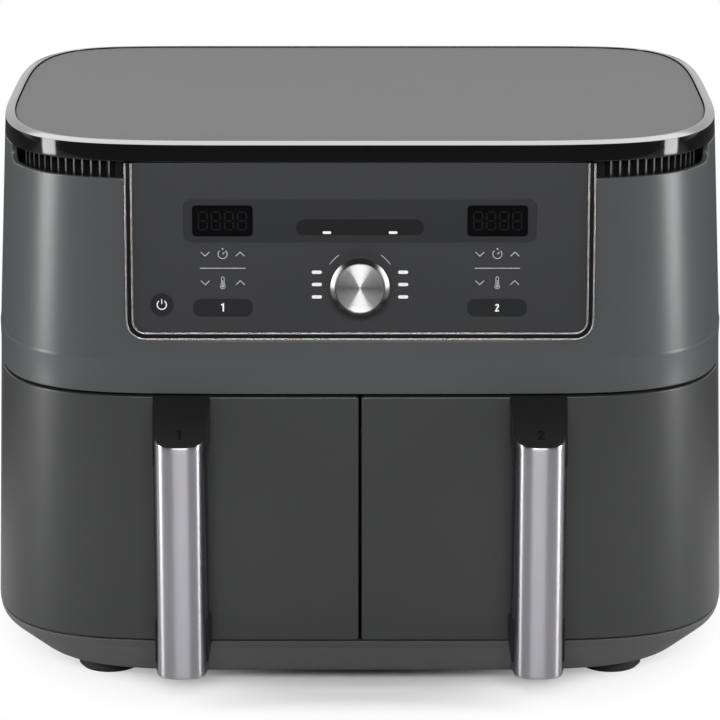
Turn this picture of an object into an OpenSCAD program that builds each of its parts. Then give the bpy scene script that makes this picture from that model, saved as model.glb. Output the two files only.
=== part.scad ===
// Twin-drawer air fryer. Millimetres, +Z up, the front faces -Y.
// The origin is on the table, under the middle of the whole object.
// "Left" and "right" are as seen from the front. The casing is drawn about its
// own plan centre, and at_plan() carries every piece from there into the frame.

/* [Casing] */
// Height from the table to the top of the lid trim
body_h = 305; // [298:1:325]
// Depth of the lid
lid_d = 300; // [290:1:315]
// Width of the casing at its base
skirt_w = 415; // [408:1:430]
// How far each side leans in from the base to the top of the drawers
waist_lean = 3.75; // [2:0.25:6]
// How far each side leans in from the base to the lid
lid_lean = 9; // [6:0.5:13]
// Thickness of the moulded casing
wall = 3; // [2.5:0.1:4]
// How far the front leans out at the top of the drawers
lean_mid = 5.9; // [4:0.1:8]
// How far the front leans out at the base
lean_low = 9.5; // [8:0.1:13]
// Height of the underside above the table
ground_gap = 7.6; // [6:0.1:10]
// Height of the top edge of the base tray
base_top = 28; // [26:0.5:34]
// How far the base is cut in at each side
base_undercut = 21.8; // [10:0.1:26]
// Height of the band below the crease in the upper casing
crease_h = 20; // [12:0.5:26]
// Sharpness of the front corners across the width
front_nx = 6.2; // [5:0.1:8]
// Sharpness of the front corners across the depth
front_ny = 3.4; // [3:0.1:4.5]
// Sharpness of the rear corners across the width
rear_nx = 10.2; // [7:0.1:12]
// Sharpness of the rear corners across the depth
rear_ny = 3.7; // [3.2:0.1:5]

/* [Lid and vents] */
// Height of the lid trim
trim_h = 10.9; // [9:0.1:13]
// Height of the bevel on the lid trim
bevel_h = 1.5; // [1:0.1:2]
// Width of the bevel on the lid trim
bevel_w = 4; // [3:0.1:5]
// Step from the lid trim in to the casing below it
trim_reveal = 0.5; // [0.2:0.1:1]
// Height of the vent slots under the lid trim
vent_h = 9.1; // [7:0.1:11]
// Spacing of the louvres in the vents
louvre_pitch = 5; // [4:0.1:8]
// How far the vents run back from the front of the lid
vent_run = 51; // [40:1:58]

/* [Control panel] */
// Width of the control panel over its bezel
panel_w = 252; // [246:1:262]
// Width of the bezel
bezel_w = 4; // [3:0.1:5]
// Corner radius of the bezel
bezel_r = 10.5; // [8:0.5:14]
// Height of the dial's centre above the bottom of the bezel
dial_rise = 30.3; // [28:0.1:32]
// Radius of the dial
dial_r = 16; // [14:0.1:18]
// How far the dial stands out
dial_h = 11.5; // [10:0.1:14]
// Travel of the dial when it is pressed
press_travel = 1.5; // [0.8:0.1:1.8]
// Width of the dark display band
band_w = 189; // [180:1:200]
// Height of the dark display band
band_h = 23.3; // [21:0.1:24]
// Height of the display band's centre above the dial's centre
band_rise = 34.7; // [33.5:0.1:36]

/* [Drawers] */
// Height of the casing above the drawers
head_h = 137.8; // [134:0.1:142]
// Gap around the drawer fronts
seam = 0.8; // [0.5:0.1:1.2]
// How far the drawer fronts reach back round the corners, from the front of the lid
wrap_d = 66; // [60:1:70]
// Corner radius of a drawer front as seen from the side
front_r = 5; // [3:0.5:9]
// Height of the basket's rim below the top of the drawer front
basket_drop = 16.4; // [15:0.1:22]
// Thickness of the basket's sheet
basket_t = 1.5; // [1:0.1:2]
// Radius of the basket's corners
basket_r = 22; // [16:1:30]
// Height of the crisper plate above the basket's floor
crisper_rise = 8.5; // [6:0.5:14]

/* [Handles] */
// Distance of each handle from the middle of the casing
handle_x = 96.6; // [92:0.1:102]
// How far the handles stand out from the front of the lid
handle_out = 47; // [44:0.5:52]
// Half the width of a grip's metal cover
grip_half = 13.3; // [12:0.1:14]
// Height of the underside of the grips above the table
grip_z0 = 19; // [16:0.5:24]
// Thickness of a grip's metal cover
cover_t = 1.2; // [0.8:0.1:1.6]

/* [Cooking bays] */
// Gap between the two cooking bays
bay_gap = 16; // [12:0.5:20]
// Gap between a bay's outer side and the casing
bay_side_gap = 5; // [3:0.5:8]
// Space behind the bays for the ducts and the power board
rear_space = 40; // [38:0.5:46]
// Thickness of the bays' sheet metal
sheet = 0.8; // [0.6:0.1:1.2]
// Height of the heater shroud above a bay
shroud_h = 47; // [45:0.5:52]
// Radius of the heating element's tube
tube_r = 3.25; // [2.5:0.05:3.5]
// Radius of the heating element's outer ring
element_r = 68; // [67.5:0.5:70]
// Radius of the hot-air impeller
impeller_r = 58; // [48:0.5:60]
// Radius of the motor shaft
shaft_r = 3; // [2.5:0.1:4]
// Height of a fan motor
motor_h = 36; // [30:0.5:38]

/* [Feet and cord inlet] */
// Radius of a foot
foot_r = 17.5; // [14:0.5:20]
// Radius of the hole that the mains cord passes through
cord_r = 3.7; // [3:0.1:4.5]

/* [Hidden] */
SEG = 96;
$fn = 64;
tiny = 0.01;
far = 600;

// Clearances
run_gap = 0.06;      // a shaft in its bearing or bush
fix_gap = 0.02;      // a piece fixed on its shaft
fit_gap = 0.1;       // pieces that drop into each other
screw_gap = 0.1;     // a screw in its hole

// Heights
skirt_z = base_top - 5;
upper_z0 = body_h - head_h;
front_z0 = base_top + seam;
front_z1 = upper_z0 - seam;
crease_z = upper_z0 + crease_h;
trim_z0 = body_h - trim_h;
trim_edge_z = body_h - bevel_h;
vent_z0 = trim_z0 - vent_h;
tray_floor_z = ground_gap + wall;
bezel_rise = 10.4;
bezel_z0 = crease_z + bezel_rise;
dial_z = bezel_z0 + dial_rise;

// Depths, measured from the plan centre
lid_y = lid_d / 2;
wrap_y = lid_y - wrap_d;
grip_y = lid_y + handle_out;
gland_flange_t = 3;
rear_y = lid_y + gland_flange_t;
plan_y = (grip_y - rear_y) / 2;

// Half sizes of the casing's plan at each height
lean_crease = lean_mid - 0.5;
waist_nip = 0.25;
skirt_nip = 0.5;
skirt_lean = lean_low - 3.5;
side_table = [
    [ground_gap, skirt_w / 2 - base_undercut],
    [skirt_z, skirt_w / 2 - skirt_nip],
    [base_top, skirt_w / 2],
    [upper_z0, skirt_w / 2 - waist_lean],
    [crease_z, skirt_w / 2 - waist_lean - waist_nip],
    [trim_edge_z, skirt_w / 2 - lid_lean]
];
front_table = [
    [ground_gap, lid_y + 0.3],
    [skirt_z, lid_y + skirt_lean],
    [base_top, lid_y + lean_low],
    [upper_z0, lid_y + lean_mid],
    [crease_z, lid_y + lean_crease],
    [trim_edge_z, lid_y]
];
rear_table = [
    [ground_gap, lid_y - 10],
    [skirt_z, lid_y - skirt_nip],
    [base_top, lid_y]
];
function half_w(z) = lookup(z, side_table);
function front_d(z) = lookup(z, front_table);
function rear_d(z) = lookup(z, rear_table);

// Superellipse plan of the casing
function power(v, n) = sign(v) * pow(abs(v), 2 / n);
function plan_point(t, z, inset) =
    sin(t) < 0
        ? [(half_w(z) - inset) * power(cos(t), front_nx), (front_d(z) - inset) * power(sin(t), front_ny)]
        : [(half_w(z) - inset) * power(cos(t), rear_nx), (rear_d(z) - inset) * power(sin(t), rear_ny)];
function side_x(y, z, inset) =
    y < 0
        ? (half_w(z) - inset) * pow(1 - pow(-y / (front_d(z) - inset), front_ny), 1 / front_nx)
        : (half_w(z) - inset) * pow(1 - pow(y / (rear_d(z) - inset), rear_ny), 1 / rear_nx);

// Solid through a row of rings of points, each ring with as many points as the next
module skin(rings) {
    n = len(rings[0]);
    last = (len(rings) - 1) * n;
    sides = [
        for (r = [0 : len(rings) - 2])
            for (i = [0 : n - 1])
                let (a = r * n + i, b = r * n + (i + 1) % n)
                    each [[a, a + n, b + n], [a, b + n, b]]
    ];
    ends = [[for (i = [0 : n - 1]) i], [for (i = [n - 1 : -1 : 0]) last + i]];
    polyhedron(points = [for (ring = rings) each ring], faces = concat(ends, sides), convexity = 4);
}

// Solid through a stack of casing sections, each given as [height, inset]
module loft(sections) {
    skin([
        for (s = sections)
            [
                for (i = [0 : SEG - 1])
                    let (p = plan_point(360 * (i + 0.5) / SEG, s[0], s[1])) [p[0], p[1], s[0]]
            ]
    ]);
}

module at_plan() {
    translate([0, plan_y, 0]) children();
}

// Draws its children on the right (1) or mirrored on the left (-1)
module on_side(side) {
    at_plan() mirror([side < 0 ? 1 : 0, 0, 0]) children();
}

module both_sides() {
    on_side(1) children();
    on_side(-1) children();
}

// Box from two corners
module block(low, high) {
    translate(low) cube(high - low);
}

// Rectangle with round corners, centred
module round_rect(w, h, r) {
    square([w - 2 * r, h], center = true);
    square([w, h - 2 * r], center = true);
    for (x = [-1, 1])
        for (y = [-1, 1])
            translate([x * (w / 2 - r), y * (h / 2 - r)]) circle(r);
}

// Rod along +Y from y0 to y1
module rod_y(x, z, r, y0, y1) {
    translate([x, y0, z]) rotate([-90, 0, 0]) cylinder(r = r, h = y1 - y0);
}

// ---------------------------------------------------------------- casing

// Opening in the casing's back that the rear cover closes
window_half = 150;
window_sill = 10;
window_head = 14;
window_z0 = base_top + window_sill;
window_z1 = vent_z0 - window_head;
lip_w = 8;
rear_screw_inset = 8;
rear_screw_zs = [window_z0 + rear_screw_inset, (window_z0 + window_z1) / 2, window_z1 - rear_screw_inset];
rear_screw_x = window_half - rear_screw_inset;
screw_r = 1.75;
screw_head_r = 3.4;
screw_head_h = 1.4;

module rear_screw_places() {
    for (x = [-rear_screw_x, rear_screw_x])
        for (z = rear_screw_zs)
            translate([x, 0, z]) children();
}

// Inlet slots in the floor behind the bays
module base_slots() {
    slot_w = 4;
    slot_l = 20;
    slot_pitch = 10;
    slots_each_side = 5;
    slot_y0 = bay_y1 + 4;
    for (i = [-slots_each_side : slots_each_side])
        block(
            [i * slot_pitch - slot_w / 2, slot_y0, ground_gap - 1],
            [i * slot_pitch + slot_w / 2, slot_y0 + slot_l, tray_floor_z + 1]
        );
}

module base_tray() {
    color("#3a3a3a") at_plan() {
        difference() {
            loft([[ground_gap, 0], [skirt_z, 0], [base_top, 0]]);
            loft([[tray_floor_z, wall], [skirt_z, wall], [base_top, wall], [base_top + 1, wall]]);
            base_slots();
        }
        for (x = [-bay_mid - rib_off, -bay_mid + rib_off, bay_mid - rib_off, bay_mid + rib_off])
            block(
                [x - rib_t / 2, bay_y0 + rib_end, tray_floor_z - 1],
                [x + rib_t / 2, bay_y1 - rib_end, bay_z0]
            );
    }
}

foot_inset_x = 67.5;
foot_inset_y = 35;
foot_x = skirt_w / 2 - foot_inset_x;
foot_y = lid_y - foot_inset_y;
foot_edge = 2;

module rubber_feet() {
    color("#1c1c1c") at_plan()
        for (x = [-foot_x, foot_x])
            for (y = [-foot_y, foot_y])
                translate([x, y, 0])
                    rotate_extrude()
                        polygon([
                            [0, 0], [foot_r - foot_edge, 0], [foot_r, foot_edge],
                            [foot_r, ground_gap], [0, ground_gap]
                        ]);
}

module shell_outside() {
    loft([[base_top, 0], [upper_z0, 0], [crease_z, 0], [trim_z0, trim_reveal]]);
}

module shell_inside(inset, low, high) {
    loft([[low, inset], [upper_z0, inset], [crease_z, inset], [high, inset + trim_reveal]]);
}

// Side view of the opening for the drawers, with round rear corners, run across the casing
module drawer_opening(y_edge, low, high, r) {
    rotate([90, 0, 90])
        translate([0, 0, -far / 2])
            linear_extrude(far) {
                translate([-far, low]) square([far + y_edge - r, high - low]);
                translate([-far, low + r]) square([far + y_edge, high - low - 2 * r]);
                for (v = [low + r, high - r])
                    translate([y_edge - r, v]) circle(r);
            }
}

module outer_shell() {
    color("#575859") at_plan() {
        difference() {
            shell_outside();
            shell_inside(wall, base_top - 1, trim_z0 + 1);
            drawer_opening(-wrap_y, front_z0 - seam - front_r, upper_z0, front_r + seam);
            block([-far, -far, vent_z0], [far, -(lid_y - vent_run), body_h]);
            on_panel()
                translate([0, panel_mid, -panel_cut])
                    linear_extrude(2 * panel_cut)
                        round_rect(panel_w + 2 * fit_gap, panel_len + 2 * fit_gap, bezel_r);
            block([-window_half, 0, window_z0], [window_half, far, window_z1]);
        }
        intersection() {
            difference() {
                shell_inside(wall - 1, base_top + 1, trim_z0 - 1);
                shell_inside(2 * wall, base_top, trim_z0);
                difference() {
                    block([-window_half, 0, window_z0], [window_half, far, window_z1]);
                    shell_inside(wall + 2 * fit_gap, base_top, trim_z0);
                }
                block(
                    [-window_half + lip_w, 0, window_z0 + lip_w],
                    [window_half - lip_w, far, window_z1 - lip_w]
                );
                rear_screw_places() rod_y(0, 0, screw_r + screw_gap, 0, far);
            }
            block(
                [-window_half - lip_w, 0, window_z0 - lip_w],
                [window_half + lip_w, far, window_z1 + lip_w]
            );
        }
    }
}

grille_w = 56;
grille_slot = 3.6;
grille_pitch = 6;
standoff_r = 4;

module grille_slots(z0, count) {
    for (side = [-1, 1])
        for (i = [0 : count - 1])
            block(
                [side * bay_mid - grille_w / 2, 0, z0 + i * grille_pitch],
                [side * bay_mid + grille_w / 2, far, z0 + i * grille_pitch + grille_slot]
            );
}

module rear_cover() {
    duct_grille_rows = 5;
    fan_grille_rows = 7;
    duct_grille_z = duct_z0 + 2.5;
    fan_grille_z = deck_z + 12;
    color("#303132") at_plan() {
        difference() {
            intersection() {
                difference() {
                    shell_outside();
                    shell_inside(wall, base_top - 1, trim_z0 + 1);
                }
                block(
                    [-window_half + fit_gap, 0, window_z0 + fit_gap],
                    [window_half - fit_gap, far, window_z1 - fit_gap]
                );
            }
            grille_slots(duct_grille_z, duct_grille_rows);
            grille_slots(fan_grille_z, fan_grille_rows);
            rod_y(inlet_x, inlet_z, gland_r + fit_gap, 0, far);
            rear_screw_places() {
                rod_y(0, 0, screw_r + screw_gap, 0, far);
                rod_y(0, 0, screw_head_r + screw_gap, screw_head_y, far);
            }
        }
        intersection() {
            for (x = [-board_hole_x, board_hole_x])
                for (z = [board_z0 + board_edge, board_z1 - board_edge])
                    rod_y(x, z, standoff_r, power_y + board_t, lid_y);
            shell_inside(wall - 1, base_top - 1, trim_z0 + 1);
        }
    }
}

screw_head_y = lid_y - wall - 0.2;

module case_screws() {
    color("#8c8c8c") at_plan()
        rear_screw_places() {
            rod_y(0, 0, screw_r, lid_y - 3 * wall - 4, screw_head_y + screw_head_h);
            rod_y(0, 0, screw_head_r, screw_head_y, screw_head_y + screw_head_h);
        }
}

ledge_w = 13;
lid_t = 3.4;
lid_sink = 0.8;
lid_chamfer = 0.6;
lid_top_z = body_h - lid_sink;
lid_z0 = lid_top_z - lid_t;
trim_land = 1.2;
trim_wall = bevel_w + trim_land;
lid_gap = 0.4;

module trim_ring() {
    color("#141414") at_plan()
        difference() {
            loft([[trim_z0, 0], [trim_edge_z, 0], [body_h, bevel_w]]);
            loft([[trim_z0 - 1, ledge_w], [lid_z0 + 1, ledge_w]]);
            loft([[lid_z0, trim_wall], [body_h + 1, trim_wall]]);
        }
}

module top_plate() {
    inset = trim_wall + lid_gap;
    color("#949494") at_plan()
        loft([[lid_z0, inset], [lid_top_z - lid_chamfer, inset], [lid_top_z, inset + lid_chamfer]]);
}

// Louvres: fins at an even pitch along the casing's plan, round both front corners
louvre_back = 8;
louvre_t = 1.2;
vent_shelf_t = 1.6;
vent_x0 = panel_w / 2 + 1.5;
vent_y1 = -(lid_y - vent_run) - 1;
arc_steps = 240;
vent_ts = [for (i = [0 : arc_steps]) 270 + 90 * i / arc_steps];
vent_pts = [for (t = vent_ts) plan_point(t, vent_z0, louvre_back)];
function vent_step(i) = i < arc_steps ? norm(vent_pts[i + 1] - vent_pts[i]) : 0;
vent_runs = [for (i = 0, run = 0; i <= arc_steps; run = run + vent_step(i), i = i + 1) run];
vent_map = [for (i = [0 : arc_steps]) [vent_runs[i], vent_ts[i]]];
louvre_ts = [
    for (s = [louvre_pitch / 2 : louvre_pitch : vent_runs[arc_steps]])
        let (t = lookup(s, vent_map), p = plan_point(t, vent_z0, louvre_back))
            if (p[0] > vent_x0 + louvre_t && p[1] < vent_y1 - louvre_t) t
];

module vent_louvres() {
    shelf_z0 = vent_z0 - 2 * vent_shelf_t;
    shelf_z1 = vent_z0 - vent_shelf_t;
    front_inset = wall + trim_reveal + fit_gap;
    back_inset = louvre_back + louvre_t;
    fin_back = louvre_back + 0.4 * louvre_t;
    fin_front = front_inset + 1;
    color("#0d0d0d") both_sides() {
        intersection() {
            difference() {
                loft([[shelf_z0, front_inset], [trim_z0, front_inset]]);
                loft([[shelf_z0 - 1, back_inset], [trim_z0 + 1, back_inset]]);
                difference() {
                    loft([[shelf_z1, 0], [trim_z0 + 1, 0]]);
                    loft([[shelf_z1 - 1, louvre_back], [trim_z0 + 2, louvre_back]]);
                }
            }
            block([vent_x0, -far, 0], [far, vent_y1, body_h]);
        }
        for (t = louvre_ts) {
            p = plan_point(t, vent_z0, fin_back);
            q = plan_point(t, vent_z0, fin_front);
            translate([p[0], p[1], shelf_z0 + vent_shelf_t / 3])
                rotate(atan2(q[1] - p[1], q[0] - p[0]))
                    translate([0, -louvre_t / 2, 0])
                        cube([norm(q - p), louvre_t, trim_z0 - shelf_z0 - vent_shelf_t / 3 - fit_gap]);
        }
    }
}

// ---------------------------------------------------------------- control panel

panel_tilt = atan((front_d(crease_z) - front_d(trim_edge_z)) / (trim_edge_z - crease_z));
bezel_proud = 1;
bezel_stand = 0.3;
fascia_t = 2.2;
bezel_depth = 7;
panel_cut = 9;
panel_low = (bezel_z0 - dial_z) / cos(panel_tilt);
panel_top_gap = 0.3;
panel_high = (trim_z0 - panel_top_gap - dial_z) / cos(panel_tilt);
panel_len = 2 * (panel_high - panel_low);
panel_mid = panel_high;
fascia_w = panel_w - 2 * bezel_w - 2 * fit_gap;
board_gap = 13;
board_t = 1.6;
display_x = 73.9;
display_w = 30;
display_h = 15;
bush_r = 4.4;
plunger_r = 4.6;
plunger_t = 1.8;
knob_back = 1.9;
hub_h = 6;

// Local frame of the panel: origin at the dial, +Y up along it, +Z straight out of it
module on_panel() {
    translate([0, -(front_d(dial_z) + bezel_stand - bezel_proud), dial_z])
        rotate([90 - panel_tilt, 0, 0])
            children();
}

module panel_outline(shrink) {
    intersection() {
        translate([0, panel_mid])
            round_rect(panel_w - 2 * shrink, panel_len - 2 * shrink, bezel_r - min(shrink, bezel_r - 2));
        translate([-far / 2, panel_low - 1]) square([far, panel_high - panel_low + 1]);
    }
}

module panel_bezel() {
    groove_w = 1.4;
    groove_t = 1.2;
    color("#b9b9b9") at_plan() on_panel()
        difference() {
            translate([0, 0, -bezel_depth]) linear_extrude(bezel_depth + bezel_proud) panel_outline(0);
            translate([0, 0, -far / 2]) linear_extrude(far) panel_outline_open(bezel_w);
            translate([0, 0, bezel_proud - groove_t])
                linear_extrude(far)
                    difference() {
                        panel_outline_open((bezel_w - groove_w) / 2);
                        panel_outline_open((bezel_w + groove_w) / 2);
                    }
        }
}

// The panel's outline, run on past its top edge
module panel_outline_open(shrink) {
    translate([0, panel_mid])
        round_rect(panel_w - 2 * shrink, panel_len - 2 * shrink, bezel_r - min(shrink, bezel_r - 2));
}

module control_fascia() {
    window_gap = 1;
    color("#3e3f41") at_plan() on_panel() {
        difference() {
            translate([0, 0, -fascia_t]) linear_extrude(fascia_t) panel_outline(bezel_w + fit_gap);
            translate([0, band_rise, -lens_t - fit_gap])
                linear_extrude(far) round_rect(band_w + 2 * fit_gap, band_h + 2 * fit_gap, lens_r);
            for (x = [-display_x, display_x])
                translate([x, band_rise, -far / 2])
                    linear_extrude(far)
                        square([display_w + 2 * window_gap, display_h + 2 * window_gap], center = true);
            translate([0, 0, -far / 2]) cylinder(r = bush_r + fit_gap, h = far);
        }
        for (x = [-standoff_x, standoff_x])
            for (y = [standoff_y0, standoff_y1])
                translate([x, y, -board_gap]) cylinder(r = 3, h = board_gap - fascia_t + 1);
    }
}

lens_t = 1.4;
lens_r = 4.6;
standoff_x = 84;
standoff_y0 = -16;
standoff_y1 = 16;

module display_lens() {
    color("#1b1c1d") at_plan() on_panel()
        translate([0, band_rise, -lens_t])
            linear_extrude(lens_t - fit_gap) round_rect(band_w, band_h, lens_r);
}

module display_modules() {
    color("#232323") at_plan() on_panel()
        for (x = [-display_x, display_x])
            translate([x, band_rise, -board_gap])
                linear_extrude(board_gap - lens_t - 2 * fit_gap)
                    square([display_w, display_h], center = true);
}

module control_board() {
    color("#1f5a34") at_plan() on_panel()
        translate([-standoff_x - 8, -22, -board_gap - board_t])
            cube([2 * (standoff_x + 8), 22 + band_rise + band_h / 2, board_t]);
}

encoder_w = 14;
encoder_h = 8;
bush_sink = 0.2;
bore_z0 = -7;

module encoder_body() {
    color("#6f7275") at_plan() on_panel()
        difference() {
            union() {
                translate([0, 0, -board_gap])
                    linear_extrude(encoder_h) square(encoder_w, center = true);
                translate([0, 0, -board_gap + encoder_h - 1])
                    cylinder(r = bush_r, h = board_gap - encoder_h + 1 - bush_sink);
            }
            translate([0, 0, bore_z0 - 1]) cylinder(r = shaft_r + run_gap, h = far);
            translate([0, 0, -board_gap + 0.4]) cylinder(r = plunger_r + 0.4, h = board_gap - 0.4 + bore_z0);
        }
}

plunger_z1 = -9;

module encoder_plunger() {
    color("#a9acb0") at_plan() on_panel()
        translate([0, 0, plunger_z1 - plunger_t]) cylinder(r = plunger_r, h = plunger_t);
}

module dial_shaft() {
    color("#c2c4c6") at_plan() on_panel()
        translate([0, 0, plunger_z1]) cylinder(r = shaft_r, h = knob_back + hub_h - plunger_z1);
}

// Turned knob: undercut side, bevelled rim, spun face
module dial_knob() {
    bevel = 2.8;
    bevel_rise = 2.2;
    undercut = 2;
    rim_h = 0.6;
    skirt_t = 2.2;
    hub_r = 6;
    recess = 1.6;
    bore = shaft_r + fix_gap;
    foot = dial_r - undercut;
    top = dial_h;
    color("#c9c9cb") at_plan() on_panel()
        rotate_extrude()
            polygon([
                [bore, knob_back], [hub_r, knob_back], [hub_r, knob_back + recess],
                [foot - skirt_t, knob_back + recess], [foot - skirt_t, knob_back], [foot, knob_back],
                [dial_r, top - bevel_rise - rim_h], [dial_r, top - bevel_rise], [dial_r - bevel, top],
                [0, top], [0, knob_back + hub_h + fit_gap], [bore, knob_back + hub_h + fit_gap]
            ]);
}

// ---------------------------------------------------------------- cooking bays

bay_y0 = -wrap_y + wall;
bay_y1 = lid_y - rear_space;
bay_z0 = base_top - 3.5;
basket_top = front_z1 - basket_drop;
bay_z1 = basket_top + 6;
bay_x0 = bay_gap / 2;
bay_corners = [for (y = [bay_y0, bay_y1]) for (z = [bay_z0, bay_z1]) side_x(y, z, wall)];
bay_x1 = min(bay_corners) - bay_side_gap;
bay_mid = (bay_x0 + bay_x1) / 2;
bay_half = (bay_x1 - bay_x0) / 2;
rib_t = 3;
rib_off = 50;
rib_end = 10;
shroud_half = 79;
shroud_y0 = bay_y0 + 17;
shroud_y1 = bay_y1 - 6;
shroud_mid_y = (shroud_y0 + shroud_y1) / 2;
shroud_z1 = bay_z1 + shroud_h;
deck_gap = 11;
deck_z = shroud_z1 + deck_gap;
deck_t = 1.5;

// Moulded frame behind the drawer fronts, with its sill and lintel
module bay_frame() {
    sill_t = 2.5;
    mouth_gap = 1;
    inset = wall + 2 * fit_gap;
    low = base_top - sill_t;
    high = upper_z0 + sill_t;
    color("#262626") at_plan() {
        difference() {
            intersection() {
                loft([[low, inset], [base_top, inset], [upper_z0, inset], [high, inset]]);
                union() {
                    block([-far, -wrap_y, low], [far, bay_y0, high]);
                    block([-far, -far, low], [far, -wrap_y + 1, base_top]);
                    block([-far, -far, upper_z0], [far, -wrap_y + 1, high]);
                }
            }
            for (side = [-1, 1])
                block(
                    [side * bay_mid - bay_half + sheet + mouth_gap, -wrap_y - 1, base_top],
                    [side * bay_mid + bay_half - sheet - mouth_gap, bay_y0 + 1, basket_top + mouth_gap]
                );
            for (side = [-1, 1])
                rod_y(side * bay_mid, switch_z, switch_pin_r + 2 * fit_gap, -wrap_y - 1, bay_y0 + 1);
        }
    }
}

module bay_divider() {
    divider_t = 5;
    color("#9a8f78") at_plan()
        block([-divider_t / 2, bay_y0 + fit_gap, tray_floor_z], [divider_t / 2, bay_y1, bay_z1]);
}

module cavity() {
    difference() {
        block([bay_x0, bay_y0, bay_z0], [bay_x1, bay_y1, bay_z1]);
        block([bay_x0 + sheet, bay_y0 - 1, bay_z0 + sheet], [bay_x1 - sheet, bay_y1 - sheet, bay_z1 - sheet]);
        block(
            [bay_mid - shroud_half + sheet, shroud_y0 + sheet, bay_z0 + 2 * sheet],
            [bay_mid + shroud_half - sheet, shroud_y1 - sheet, bay_z1 + 1]
        );
    }
}

module cavity_left() {
    color("#8b8d8f") on_side(-1) cavity();
}

module cavity_right() {
    color("#8b8d8f") on_side(1) cavity();
}

rail_h = 4;
rail_inset = 1;
flange_t = 1.5;
basket_side_gap = 1.5;
rail_w = 5;
flange_half = bay_half - sheet - basket_side_gap;
rim_half = flange_half - 4.5;

module bay_rails() {
    color("#a3a5a7") both_sides()
        for (x = [bay_x0 + sheet, bay_x1 - sheet - rail_w])
            block(
                [x, bay_y0 + rail_inset, basket_top - flange_t - rail_h],
                [x + rail_w, bay_y1 - sheet - rail_inset, basket_top - flange_t]
            );
}

port_w = 60;
port_h = 30;
duct_z0 = bay_z1 + 10;
duct_grow = 2;

module heater_shrouds() {
    flange = 5;
    color("#8f9193") both_sides()
        difference() {
            union() {
                block(
                    [bay_mid - shroud_half, shroud_y0, bay_z1],
                    [bay_mid + shroud_half, shroud_y1, shroud_z1]
                );
                block(
                    [bay_mid - shroud_half - flange, shroud_y0 - flange, bay_z1],
                    [bay_mid + shroud_half + flange, shroud_y1 + flange, bay_z1 + sheet]
                );
            }
            block(
                [bay_mid - shroud_half + sheet, shroud_y0 + sheet, bay_z1 - 1],
                [bay_mid + shroud_half - sheet, shroud_y1 - sheet, shroud_z1 - sheet]
            );
            block(
                [bay_mid - port_w / 2, shroud_y1 - 2 * sheet, duct_z0 + duct_grow],
                [bay_mid + port_w / 2, shroud_y1 + 1, duct_z0 + duct_grow + port_h]
            );
            translate([bay_mid, shroud_mid_y, 0]) {
                cylinder(r = shaft_r + 4, h = far);
                for (p = riser_places)
                    translate(p) cylinder(r = tube_r + 3 * fit_gap, h = far);
                translate([probe_x, probe_y, 0]) cylinder(r = probe_r + 2 * fit_gap, h = far);
            }
        }
}

module exhaust_ducts() {
    color("#7f8183") both_sides()
        intersection() {
            difference() {
                block(
                    [bay_mid - port_w / 2 - duct_grow, shroud_y1, duct_z0],
                    [bay_mid + port_w / 2 + duct_grow, far, duct_z0 + port_h + 2 * duct_grow]
                );
                block(
                    [bay_mid - port_w / 2 - duct_grow + sheet, shroud_y1 - 1, duct_z0 + sheet],
                    [bay_mid + port_w / 2 + duct_grow - sheet, far, duct_z0 + port_h + 2 * duct_grow - sheet]
                );
            }
            shell_inside(wall + 3 * fit_gap, base_top, trim_z0);
        }
}

// Tubular heating element: two open rings in one bent tube, with its ends up through the roof
ring_step = 18;
element_rise = 16;
element_z = bay_z1 + element_rise;
ring_start = 20;
ring_end = 340;
inner_start = 6;
inner_r = element_r - ring_step;
riser_r = element_r + 2;
riser_top = shroud_z1 + 7;
tube_sides = 8;
tube_steps = 20;
riser_places = [on_circle(element_r, ring_start, 0), on_circle(riser_r, inner_start, 0)];

function on_circle(r, angle, z) = [r * cos(angle), r * sin(angle), z];
function arc_points(r, from, to) = [
    for (i = [0 : tube_steps]) on_circle(r, from + (to - from) * i / tube_steps, 0)
];
function unit(v) = v / norm(v);

element_path = concat(
    [on_circle(element_r, ring_start, riser_top - element_z)],
    arc_points(element_r, ring_start, ring_end),
    arc_points(inner_r, ring_end, inner_start),
    [on_circle(riser_r, inner_start, 0), on_circle(riser_r, inner_start, riser_top - element_z)]
);

// Tube along a path whose first stretch runs straight down, mitred at every bend
module mitred_tube(path, r, sides) {
    last = len(path) - 1;
    first_ring = [for (i = [0 : sides - 1]) path[0] + on_circle(r, -360 * i / sides, 0)];
    function ahead(k) = unit(path[k] - path[k - 1]);
    function across(k) = k < last ? unit(ahead(k) + ahead(k + 1)) : ahead(k);
    function carried(ring, k) = [
        for (q = ring) q + ahead(k) * (((path[k] - q) * across(k)) / (ahead(k) * across(k)))
    ];
    skin([
        for (k = 0, ring = first_ring; k <= last; k = k + 1, ring = k <= last ? carried(ring, k) : ring) ring
    ]);
}

module heating_elements() {
    color("#5c5752") both_sides()
        translate([bay_mid, shroud_mid_y, element_z]) mitred_tube(element_path, tube_r, tube_sides);
}

// Guard under the element: flat rings on four bars that reach the shroud's walls
guard_h = 1.6;
guard_z = bay_z1 + 3;

module element_guards() {
    ring_pitch = 16;
    rings = 4;
    wire_w = 2;
    reach_x = 2 * (shroud_half - sheet - fit_gap);
    reach_y = shroud_y1 - shroud_y0 - 2 * (sheet + fit_gap);
    color("#b4b6b8") both_sides()
        translate([bay_mid, shroud_mid_y, guard_z])
            linear_extrude(guard_h) {
                for (i = [1 : rings])
                    difference() {
                        circle(i * ring_pitch + wire_w / 2);
                        circle(i * ring_pitch - wire_w / 2);
                    }
                square([reach_x, wire_w], center = true);
                square([wire_w, reach_y], center = true);
                for (a = [45, 135])
                    rotate(a) square([2 * rings * ring_pitch, wire_w], center = true);
            }
}

probe_x = -58;
probe_y = 52;
probe_r = 2;
probe_tail = 8;
probe_flange_r = 6;
probe_flange_t = 1.5;

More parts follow.
